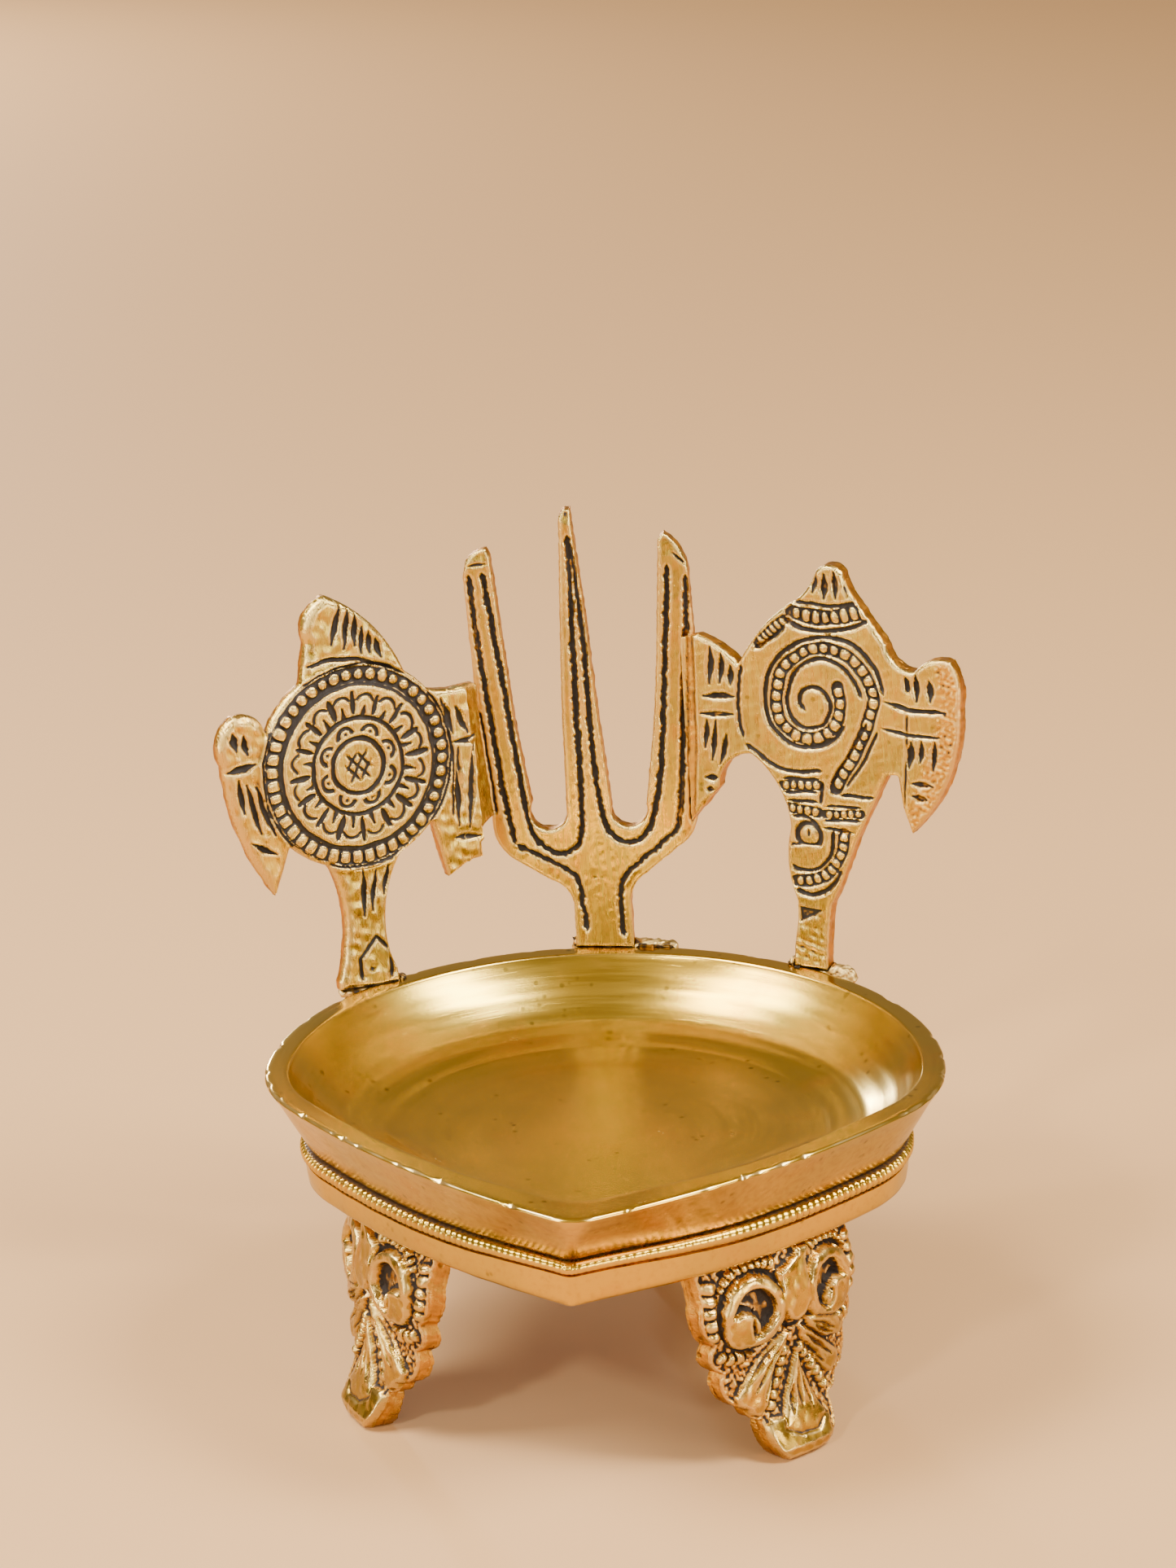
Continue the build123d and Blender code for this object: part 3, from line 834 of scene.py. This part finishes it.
def drawWheel(relief):
    u, v = relief.u - wheel["hub"][0], relief.v - wheel["hub"][1]
    r, turn = np.hypot(u, v), np.arctan2(v, u)

    def ring(middle, width, depth, ragged=0.15):
        half = width / 2 * 1.25 * (1 + ragged * lumps(relief.at, 2.4, 12))
        relief.carve(1 - smoothStep(0.2, 1, np.abs(r - middle) / half), depth)

    disc = smoothStep(18.4, 17.7, r)
    outside = smoothStep(17.6, 18.6, r)
    relief.lower(outside * smoothStep(6, -4, relief.u + 0.2 * relief.v - 10), 0.25)
    relief.lower(smoothStep(14.3, 14.7, r) * smoothStep(17.5, 16.9, r), 0.72)
    step = 2 * math.pi / wheel["beadCount"]
    order = np.round(turn / step)
    side = r * np.sin(turn - order * step)
    squashed = smoothStep(6, -10, u + v)                 # round pearls upper right, flat blocks lower left
    sizes = relief.chance.uniform(0.86, 1.04, wheel["beadCount"] + 1)[order.astype(int) % wheel["beadCount"]]
    power = 2 + 1.4 * squashed
    away = ((np.abs(side) / (1.06 * sizes)) ** power
            + (np.abs(r - 15.85) / ((1.08 + 0.25 * squashed) * sizes)) ** power)
    dome = np.sqrt(np.clip(1 - away, 0, 1))
    raised = np.minimum(relief.sunk, 0.72 - (0.70 - 0.12 * squashed) * dome)
    relief.sunk = np.where(away < 1, raised, relief.sunk)
    ring(14.15, 0.85, 0.55)
    ring(8.35, 0.95, 0.58)
    ring(4.75, 1.05, 0.62)
    band = smoothStep(17.15, 17.45, r) * disc
    relief.lower(band * smoothStep(17.9, 17.5, r), 0.62)
    pitch = 2 * math.pi / wheel["spokes"]
    for k in range(wheel["spokes"]):
        angle = math.radians(88) + k * pitch + relief.chance.uniform(-0.03, 0.03)
        across, outward = turned(u, v, angle)
        start, end = 8.9, relief.chance.uniform(12.3, 13.3)
        share = (outward - start) / (end - start)
        width = 0.84 * relief.chance.uniform(0.75, 1.1) * np.sqrt(np.clip(share * (1 - share) * 4, 0, 1)) + 0.02
        shape = (1 - smoothStep(0.25, 1, np.abs(across) / width)) * (share > 0) * (share < 1)
        relief.carve(shape, 0.55)
        half = angle + pitch / 2
        across, outward = turned(u, v, half)
        share = (outward - 8.7) / 1.9
        taper = 0.80 * np.clip(1 - share, 0.02, 1)
        relief.carve((1 - smoothStep(0.3, 1, np.abs(across) / taper)) * (share > 0) * (share < 1), 0.45)
        # a thin crescent bowed outwards between each pair of spokes
        bow = np.hypot(across, outward - 10.6)
        shape = 1 - smoothStep(0.1, 0.42, np.abs(bow - 1.75))
        shape = shape * smoothStep(10.9, 11.4, outward) * (outward < 13.4)
        relief.carve(shape, 0.42 * relief.chance.uniform(0.55, 1.1))
    for k in range(8):
        angle = k * math.pi / 4 + 0.3
        across, outward = turned(u, v, angle)
        bow = np.hypot(across, outward - 5.7)
        relief.carve((1 - smoothStep(0.12, 0.55, np.abs(bow - 1.45))) * (outward > 5.7), 0.42)
        relief.carve(1 - smoothStep(0.3, 1.0, np.hypot(across, outward - 6.2) / 0.5), 0.26)
    for offset in (-1.5, 0.0, 1.5):
        for slope in (54, -50):
            turnTo = math.radians(slope)
            dx, dy = math.cos(turnTo), math.sin(turnTo)
            mid = (wheel["hub"][0] - dy * offset, wheel["hub"][1] + dx * offset)
            reach = 3.2 - abs(offset) * 0.8
            relief.groove([(mid[0] + way * dx * reach, mid[1] + way * dy * reach) for way in (-1, 1)],
                          0.6, 0.42, fade=1.4)
    relief.cuts(wheel["flames"], 1.35, 0.80)
    relief.groove([(-4.7, 57.6), (-0.7, 58.0), (4.8, 56.9), (11, 54.1)], 0.9, 0.6)
    relief.groove([(-2.1, 1.4), (-1.8, 5.4), (1.5, 8.6), (4.1, 5.4), (3.3, 0.9)], 0.8, 0.55, smooth=False)
    relief.groove([(-0.5, 3.1), (0.3, 3.2)], 1.7, 0.4)
    relief.groove([(-1.0, 21.2), (2.6, 20.9), (7.0, 21.6)], 0.5, 0.3)
    relief.groove([(18.9, 47.2), (20.0, 38), (18.6, 26)], 0.5, 0.35)
    uneven = outside * 0.10 * (1 + lumps(relief.at, 3.0, 30))
    relief.sunk += uneven
    relief.ground += uneven + outside * smoothStep(6, -4, relief.u + 0.2 * relief.v - 10) * 0.25
    relief.coarse = np.maximum(relief.coarse, outside * smoothStep(-8, -14, relief.u) * 0.3)


def wheelEdge(relief):
    left = smoothStep(2, -10, relief.u - 0.1 * relief.v)
    return 0.75 + 0.9 * left


carvePlate("wheel_emblem", "wheelEmblem", plateFrame((-41.9, 35.1), 33, 5), 3.3, flattenWheel, drawWheel,
           "crest", seed=21, edge=wheelEdge, jointBelow=0.5)

prongGrooves = [
    [(-18.3, 67.9), (-17.9, 58), (-17.2, 49), (-16.4, 40), (-15.6, 30), (-14.8, 24), (-14.1, 19.4)],
    [(-14.1, 19.4), (-9.4, 16.9), (-5.2, 14.3), (-3.6, 12.2), (-3.2, 8.5), (-2.8, 3.2)],
    [(-15.9, 68.2), (-15.1, 60), (-14.2, 51), (-13.3, 41), (-12.4, 31), (-11.7, 25), (-10.6, 20.8),
     (-8.6, 18.4), (-6.4, 17.5), (-4.2, 18), (-2.8, 20), (-2.1, 25), (-1.9, 35), (-1.7, 45), (-1.4, 56),
     (-1.0, 66), (-0.9, 74)],
    [(-0.9, 74), (-0.1, 65), (0.4, 55), (0.4, 44), (0.6, 34), (1.2, 26), (2.2, 21.6), (4.2, 19.3), (6.7, 19.0),
     (9.0, 20.8), (10.6, 24.6), (12.1, 32), (13.2, 42), (14.4, 54), (15.7, 68)],
    [(18.7, 66), (18.0, 55), (16.9, 44), (15.9, 33), (14.8, 24), (14.0, 20.8), (11.4, 18.6), (7.0, 15),
     (4.3, 12.6), (3.6, 10.8), (3.3, 6.4), (3.6, 1.8)],
]


def drawProngs(relief):
    # the strips outside the cut lines are left a little lower and rough from the mould
    for line in prongGrooves:
        relief.groove(line, 1.15, 0.72, ragged=0.30)
    outer = within(relief.at, [(-19.0, 70), (-18.3, 67.9), (-17.2, 49), (-15.6, 30), (-14.1, 19.4),
                               (-5.2, 14.3), (-3.6, 12), (-2.8, 3), (-2.8, -2), (3.6, -2), (3.6, 10.8),
                               (7, 15), (14, 20.8), (15.9, 33), (16.9, 44), (18.7, 66), (20, 80), (-20, 80)])
    strip = smoothStep(0.1, 0.7, -outer)
    relief.lower(strip, 0.22)
    relief.ground += strip * 0.22
    relief.lower(smoothStep(16.6, 17.4, relief.u - 0.035 * relief.v + 1.4) * smoothStep(20, 23, relief.v)
                 * smoothStep(57, 54, relief.v), 0.5)
    relief.groove([(18.6, 52), (18.3, 44), (17.6, 33), (16.8, 25)], 0.6, 0.4, ragged=0.4)
    relief.groove([(-18.4, 44), (-17.4, 33), (-16.8, 25)], 0.6, 0.35, ragged=0.4)
    relief.coarse = np.maximum(relief.coarse, strip * 0.8 * smoothStep(14, 17, np.abs(relief.u)))
    relief.cuts([[(-18.7, 69.5), (-14.9, 69.7)]], 0.5, 0.35)
    relief.cuts([[(16.7, 70.2), (19.2, 67.4)]], 0.55, 0.4)
    # filed facets at the three tips
    relief.sunk += 0.10 * np.clip(relief.v - 69.6, 0, 4) * smoothStep(-12, -14, relief.u)
    relief.sunk += 0.16 * np.clip(relief.v - 75.2 + 0.6 * relief.u, 0, 4) * (np.abs(relief.u) < 6)
    relief.sunk += 0.08 * np.clip(relief.v - 69.5, 0, 5) * smoothStep(12, 13.5, relief.u)
    for spot in ((-0.9, 12.9), (0.3, 12.8)):
        relief.groove([spot, (spot[0] + 0.3, spot[1])], 0.8, 0.4)
    relief.groove([(-1.2, 9.0), (-0.9, 9.3), (-0.2, 9.0)], 0.3, 0.12)


carvePlate("prong_emblem", "prongEmblem", plateFrame((-4.3, 54.4), 0, 2), 3.3, flatPlate, drawProngs,
           "crest", seed=41, edge=0.45, jointBelow=0.5)

conch = {
    "knob": [[(5.4, 70), (4.7, 66.6)], [(6.9, 69.8), (6.7, 65.7)], [(8.7, 70.4), (8.9, 65.8)],
             [(10.6, 70.3), (11.1, 66.2)]],
    "flames": [[(23, 53.7), (22.9, 49)], [(25.3, 52.8), (25.4, 49)], [(21.6, 41.9), (21.1, 37.3)],
               [(23.5, 42.1), (23.1, 38.1)], [(25.9, 42.2), (25.4, 36.8)], [(21.5, 34.6), (25.3, 34.3)],
               [(21.6, 32.4), (24.2, 31.8)], [(-14.9, 56.1), (-15.3, 49.4)], [(-13, 54.9), (-13.3, 49.8)],
               [(-11.3, 52.8), (-11.3, 49.6)], [(-16.7, 47.3), (-10.7, 47.5)], [(-17.2, 44.1), (-11.3, 44.3)],
               [(-16.2, 43.1), (-16.7, 38.1)], [(-14.5, 43.2), (-15.6, 35.7)], [(-12.6, 40.9), (-14, 35.3)],
               [(-17, 32.8), (-14.6, 32.8)], [(-16.9, 30.7), (-15.5, 30.7)], [(-17, 28.8), (-18.2, 26.9)]],
    "eyeSpiral": [(2.5, 46), (1.4, 47.3), (1.9, 49.3), (3.9, 50.2), (6.2, 49.1), (7, 46.7), (5.4, 43.6),
                  (1.7, 42.9), (-0.8, 45.7), (-0.8, 49.1), (1.2, 53.2), (4.9, 55.1), (8.5, 54.6),
                  (11.5, 51.9), (12.9, 48.8)],
    "outerSpiral": [(9.5, 44), (7.3, 41.1), (3.1, 39.5), (-1, 40.3), (-4, 43), (-5.1, 46.9), (-4.1, 52.3),
                    (-0.2, 56.8), (5.6, 58.8), (11.2, 58.2), (15.2, 54.6), (16.9, 49.8)],
    "beads": [(8.4, 50.4), (8.8, 47.4), (7.7, 43.8), (4.6, 41.3), (0.6, 41.4), (-2.6, 44.2), (-2.9, 48.5),
              (-1.4, 53.0), (2.2, 56.0), (6.0, 57.0), (10.5, 56.0), (13.6, 53.0), (15.0, 49.4), (14.3, 46.0),
              (12.6, 41.6), (10.0, 37.0), (7.3, 32.6)],
}


def drawConch(relief):
    relief.beads(conch["beads"], 2.1, 2.05, 0.62, 0.60)
    relief.groove(conch["eyeSpiral"], 0.95, 0.60)
    relief.groove(conch["outerSpiral"], 1.0, 0.62)
    relief.groove([(15.6, 43.2), (14.2, 40.4), (12.3, 37.3), (9.3, 33)], 0.65, 0.42)
    relief.groove([(13.6, 44.6), (11.4, 40.6), (8.2, 36.2), (6.2, 33)], 0.6, 0.4)
    relief.beads([(0.6, 62.9), (6.8, 62.3), (14.6, 63.9)], 2.6, 1.75, 0.62, 0.60)
    relief.beads([(-5.9, 57.3), (-3.3, 59.6), (-0.8, 61.6)], 1.7, 1.2, 0.55, 0.5)
    relief.beads([(15.9, 63.2), (18.0, 61.4), (19.9, 59.5)], 1.5, 1.2, 0.55, 0.5)
    relief.groove([(0.2, 65.3), (3.8, 64.7), (9, 64.5), (14.9, 65.9)], 0.95, 0.6)
    relief.groove([(-0.8, 61.6), (2.6, 60.2), (6.7, 59.9), (11.4, 60.9), (15, 62.5)], 1.05, 0.65)
    relief.groove([(-6.8, 56.2), (-3.4, 58.2), (-0.6, 60.4)], 0.7, 0.5)
    relief.groove([(15.0, 61.6), (16.9, 59.5), (19.9, 58.4)], 1.0, 0.6)
    relief.cuts(conch["knob"], 1.3, 0.75)
    relief.cuts(conch["flames"], 1.3, 0.78)
    relief.groove([(17, 48.6), (21.5, 47.3), (28.2, 47.3)], 1.0, 0.6, fade=2.5)
    relief.groove([(16.2, 43.9), (22.3, 42.9), (27.2, 42.9)], 0.8, 0.5, fade=2.5)
    relief.groove([(21.2, 53.0), (21.4, 50.4)], 1.1, 0.6, fade=0.7)
    relief.groove([(-9.4, 53.4), (-10.3, 45), (-9.5, 40.4)], 0.8, 0.5, ragged=0.3)
    relief.groove([(-9.0, 39.4), (-6.4, 37.4), (-3.9, 35.9), (-0.3, 35), (5, 35.6)], 0.9, 0.55)
    relief.groove([(21.2, 46.6), (20.6, 38), (19.8, 30)], 0.45, 0.25)
    relief.beads([(-2.6, 32.5), (4.2, 32.9)], 1.6, 1.25, 0.5, 0.48)
    relief.beads([(-1.6, 28.6), (4.0, 28.1)], 1.7, 1.25, 0.5, 0.48)
    relief.beads([(5.2, 27.9), (12.0, 28.4)], 1.4, 1.3, 0.5, 0.46)
    for line in ([(-2.6, 33.7), (4.6, 34)], [(-2.4, 31.3), (4, 31.7)], [(-1.8, 29.9), (4.2, 30)],
                 [(-1.2, 27.3), (2.0, 27.0), (4.4, 25.6)], [(5.2, 29.3), (12.2, 29.6)],
                 [(4.8, 26.8), (11.9, 27.2)], [(4.8, 25.4), (10.4, 25.1)], [(7.9, 31.5), (14.9, 31.5)]):
        relief.groove(line, 0.75, 0.55, fade=1.5)
    relief.groove([(4.9, 33.6), (4.4, 29.6)], 0.8, 0.5)
    eye = np.hypot(relief.u - 2.0, relief.v - 24.0)
    relief.lower(smoothStep(2.9, 2.3, eye) * (relief.v > 22.2), 0.55)
    raised = np.minimum(relief.sunk, 0.55 - 0.5 * np.sqrt(np.clip(1 - (eye / 1.9) ** 2, 0, 1)))
    relief.sunk = np.where(eye < 1.9, raised, relief.sunk)
    relief.groove([(2.0, 25.1), (2.0, 23.5)], 0.5, 0.3)
    relief.groove([(-1.2, 21.6), (-1.0, 22.3), (0.6, 22.1)], 0.6, 0.4)
    relief.groove([(-1.3, 18.6), (-0.1, 17.6), (3.4, 18.1), (5.8, 20.9), (6.6, 25.2)], 0.95, 0.6)
    relief.beads([(8.6, 24.6), (7.9, 21.3), (5.4, 17.6), (2.2, 15.9), (-0.8, 15.6)], 2.0, 1.7, 0.6, 0.52)
    relief.groove([(-1.0, 14.2), (2.3, 13.3), (5.6, 15.0), (7.9, 18.4)], 1.0, 0.62)
    relief.shape([(-0.6, 11.3), (4.0, 10.9), (2.2, 9.4), (-0.6, 8.3)], 0.6, 0.3)
    # hammered post and the sandy right edge
    post = smoothStep(10.5, 9.5, relief.v)
    sandy = smoothStep(25.5, 28, relief.u + 0.4 * (45 - relief.v) * (relief.v < 45))
    uneven = post * 0.10 * (1 + lumps(relief.at, 2.2, 51)) + sandy * 0.09 * (1 + lumps(relief.at, 1.3, 52))
    relief.sunk += uneven
    relief.ground += uneven
    relief.coarse = np.maximum(relief.coarse, sandy * 0.7)


carvePlate("conch_emblem", "conchEmblem", plateFrame((30.8, 45.2), -22, 2), 3.3, flatPlate, drawConch,
           "crest", seed=61, edge=0.6, jointBelow=0.5)

foot = {
    "radius": 42.0, "thickness": 4.2,
    "profile": [(0, 4.8), (2.2, 5.0), (9, 2.2), (15, 1.6), (27, 1.9), (34.2, 0), (39.2, -0.6)],
    "places": {"front_right": (47.0, 43.4, 1), "front_left": (-61.0, 42.3, -1), "back": (173.0, 45.4, 1)},
}


def footFrame(azimuth, reach):
    return (Matrix.Translation(centre) @ Matrix.Rotation(math.radians(azimuth - 90), 4, "Z")
            @ Matrix.Translation((reach * mm, 0, 0)))


def flattenFoot(points):
    fromAxis = points[:, :2] + np.array([foot["radius"], 0])
    r = np.hypot(*fromAxis.T)
    z, x = np.array(foot["profile"]).T
    depth = np.interp(points[:, 2], z, x) + foot["radius"] - r
    inward = np.column_stack([-fromAxis / r[:, None], np.zeros(len(points))])
    return points[:, 1], points[:, 2], depth, inward


def drawFoot(mirror):
    def draw(relief):
        relief.u = relief.u * mirror + np.interp(relief.v, [2, 9, 15, 25], [2.9, 2.1, 1.1, 0])
        relief.at = np.stack([relief.u, relief.v], 1)
        u, v = relief.u, relief.v
        relief.sunk += 1.55 + 0.22 * lumps(relief.at, 1.7, 71) + 0.12 * lumps(relief.at, 0.9, 72)
        for side in (-1, 1):
            # grains and beads on the outer border, ribs over the scroll, beaded ribs under it
            relief.beads([(side * 15.6, 32), (side * 15.9, 27), (side * 15.2, 22)], 2.6, 1.9, 1.6, 0.9)
            relief.beads([(side * 13.6, 29.8), (side * 11.0, 32.6), (side * 6.5, 33.6), (side * 3.4, 32.6)],
                         2.3, 1.25, 1.5, 1.25, square=3.2)
            relief.beads([(side * 14.4, 19.4), (side * 11.4, 18.5), (side * 8.2, 19.6)],
                         2.2, 1.5, 1.6, 1.2, square=3.0)
            x, y = (u * side - 8.2) / 5.7, (v - 26) / 5.7
            r, turn = np.hypot(x, y), np.arctan2(y, x)
            hollow = smoothStep(0.80, 0.60, r)
            relief.level(hollow, 2.2)
            scroll = smoothStep(0.56, 0.72, r) * smoothStep(1.06, 0.96, r)
            relief.level(scroll, 0.35 - 0.30 * np.clip(1 - ((r - 0.82) / 0.2) ** 2, 0, 1))
            rim = smoothStep(1.02, 1.10, r) * smoothStep(1.26, 1.16, r)
            relief.lower(rim, 1.9)
            comma = np.hypot((u * side - 10.6) / 3.0, (v - 23.3) / 2.9)
            rounded = np.sqrt(np.clip(1 - (comma * 0.9) ** 2, 0, 1))
            relief.level(smoothStep(1.12, 0.9, comma), 0.42 - 0.35 * rounded)
            relief.groove([(side * 6.9, 21.9), (side * 8.3, 22.3), (side * 8.9, 24.2), (side * 8.1, 26.0)],
                          0.8, 0.9)
            relief.groove([(side * 9.6, 26.6), (side * 11.6, 27.0), (side * 12.6, 25.8)], 0.7, 0.5)
        relief.shape([(-3.2, 31.4), (-3.1, 25.2), (-1.9, 22.9), (0, 22.2), (1.9, 22.9), (3.1, 25.2),
                      (3.2, 31.4), (4.8, 35.6), (3.2, 37.0), (1.2, 33.2), (-1.0, 32.0)], 0.08, 0.45)
        relief.groove([(-2.8, 24.0), (-1.6, 21.9), (0.2, 21.3), (2.0, 22.0), (3.0, 24.2)], 1.0, 0.9)
        # the fan: two pairs of side leaves, a beaded strip and the toe lobe between them
        relief.shape([(-0.9, 21.6), (-3.4, 20.8), (-8.2, 15.6), (-10.8, 12.0), (-9.6, 9.0), (-6.0, 7.6),
                      (-4.3, 9.2), (-3.0, 14.6)], 0.05, 0.5, 1.1, 2.0)
        relief.cuts([[(-2.9, 20.4), (-8.9, 13.6)], [(-2.3, 20.0), (-7.2, 12.2)], [(-1.8, 19.4), (-5.2, 10.4)]],
                    1.0, 1.0)
        relief.shape([(2.2, 22.4), (5.0, 22.2), (10.6, 20.2), (13.0, 17.6), (12.2, 15.6), (8.0, 16.6),
                      (3.0, 20.0)], 0.10, 0.5, 1.0, 1.7)
        relief.cuts([[(3.4, 21.4), (9.8, 18.0)], [(4.2, 20.4), (9.4, 17.2)]], 0.8, 0.9)
        relief.shape([(0.9, 21.2), (2.6, 20.8), (8.4, 16.4), (12.2, 13.6), (12.0, 11.0), (9.6, 10.2),
                      (5.4, 13.2), (2.0, 17.6)], 0.05, 0.5, 1.1, 2.0)
        relief.cuts([[(2.2, 19.6), (9.6, 13.6)], [(2.0, 18.6), (7.6, 12.8)]], 0.9, 0.9)
        relief.beads([(1.2, 17.8), (3.8, 14.8), (6.6, 11.6), (9.0, 8.4)], 1.9, 1.7, 1.3, 1.0)
        relief.beads([(-1.2, 18.2), (-2.0, 14.6), (-2.8, 11.2), (-3.8, 8.2)], 1.9, 1.8, 1.4, 0.8)
        relief.shape([(-6.4, 5.6), (-5.4, 1.2), (-2.0, -2.5), (4.0, -2.5), (8.4, 1.4), (8.6, 4.6),
                      (5.4, 6.2), (1.0, 6.8), (-4.0, 7.2)], 0.15, 0.4, 0.9, 2.4)
        relief.shape([(-2.0, 5.0), (1.0, 3.4), (5.0, 3.2), (7.8, 5.2), (5.8, 8.6), (2.6, 14.0),
                      (1.0, 17.8), (0.2, 14.6), (-1.0, 9.0)], 0.0, 0.4, 1.1, 2.6)
        relief.cuts([[(1.4, 14.0), (2.2, 7.6)], [(2.4, 12.8), (4.6, 6.8)], [(0.6, 11.6), (0.2, 7.0)]], 0.9, 0.8)
        relief.sunk += 0.07 * (1 + lumps(relief.at, 3.0, 75))
        relief.coarse = np.maximum(relief.coarse, smoothStep(0.9, 1.8, relief.sunk) * 0.8)
    return draw


for word, (azimuth, reach, mirror) in foot["places"].items():
    carvePlate("foot_" + word, "foot" + word.title().replace("_", ""), footFrame(azimuth, reach),
               foot["thickness"], flattenFoot, drawFoot(mirror), "feet",
               seed=81 + int(azimuth), edge=0.8, voxel=0.22, darkFrom=1.15, darkTo=2.75,
               coarseSides=0.7, lip=0.9)


# brazing metal: the joints' beads, slumped and lumpy
def brazeJoint(node, size, dark):
    name = "".join(part.title() for part in node.split("_"))
    piece = takeNode(node, name[0].lower() + name[1:], Matrix.Identity(4), 0.2)
    mesh = piece.data
    points = readPoints(mesh) / mm
    seed = 100 + len(node)
    inset = 0.28 * (1 + lumps(points, 2.4 * size, seed)) + 0.10 * (1 + lumps(points, 1.0, seed + 1))
    points -= readPoints(mesh, "normal") * inset[:, None]
    writePoints(mesh, points * mm)
    storeValues(mesh, "cavity", np.clip(dark + 0.35 * lumps(points, 2.0, seed + 2), 0, 1))
    storeValues(mesh, "rough", np.clip(0.25 + 0.4 * lumps(points, 3.0, seed + 3), 0, 1))
    storeValues(mesh, "brush", points)
    storeWearAndHighlight(piece, 0.05)
    finishPiece(piece, materials["braze"], node, angle=80)


for node in sorted(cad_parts):
    if node.startswith("braze_"):
        brazeJoint(node, 1.0, 0.45 if "to" in node or "foot" in node else 0.12)
print("braze made")
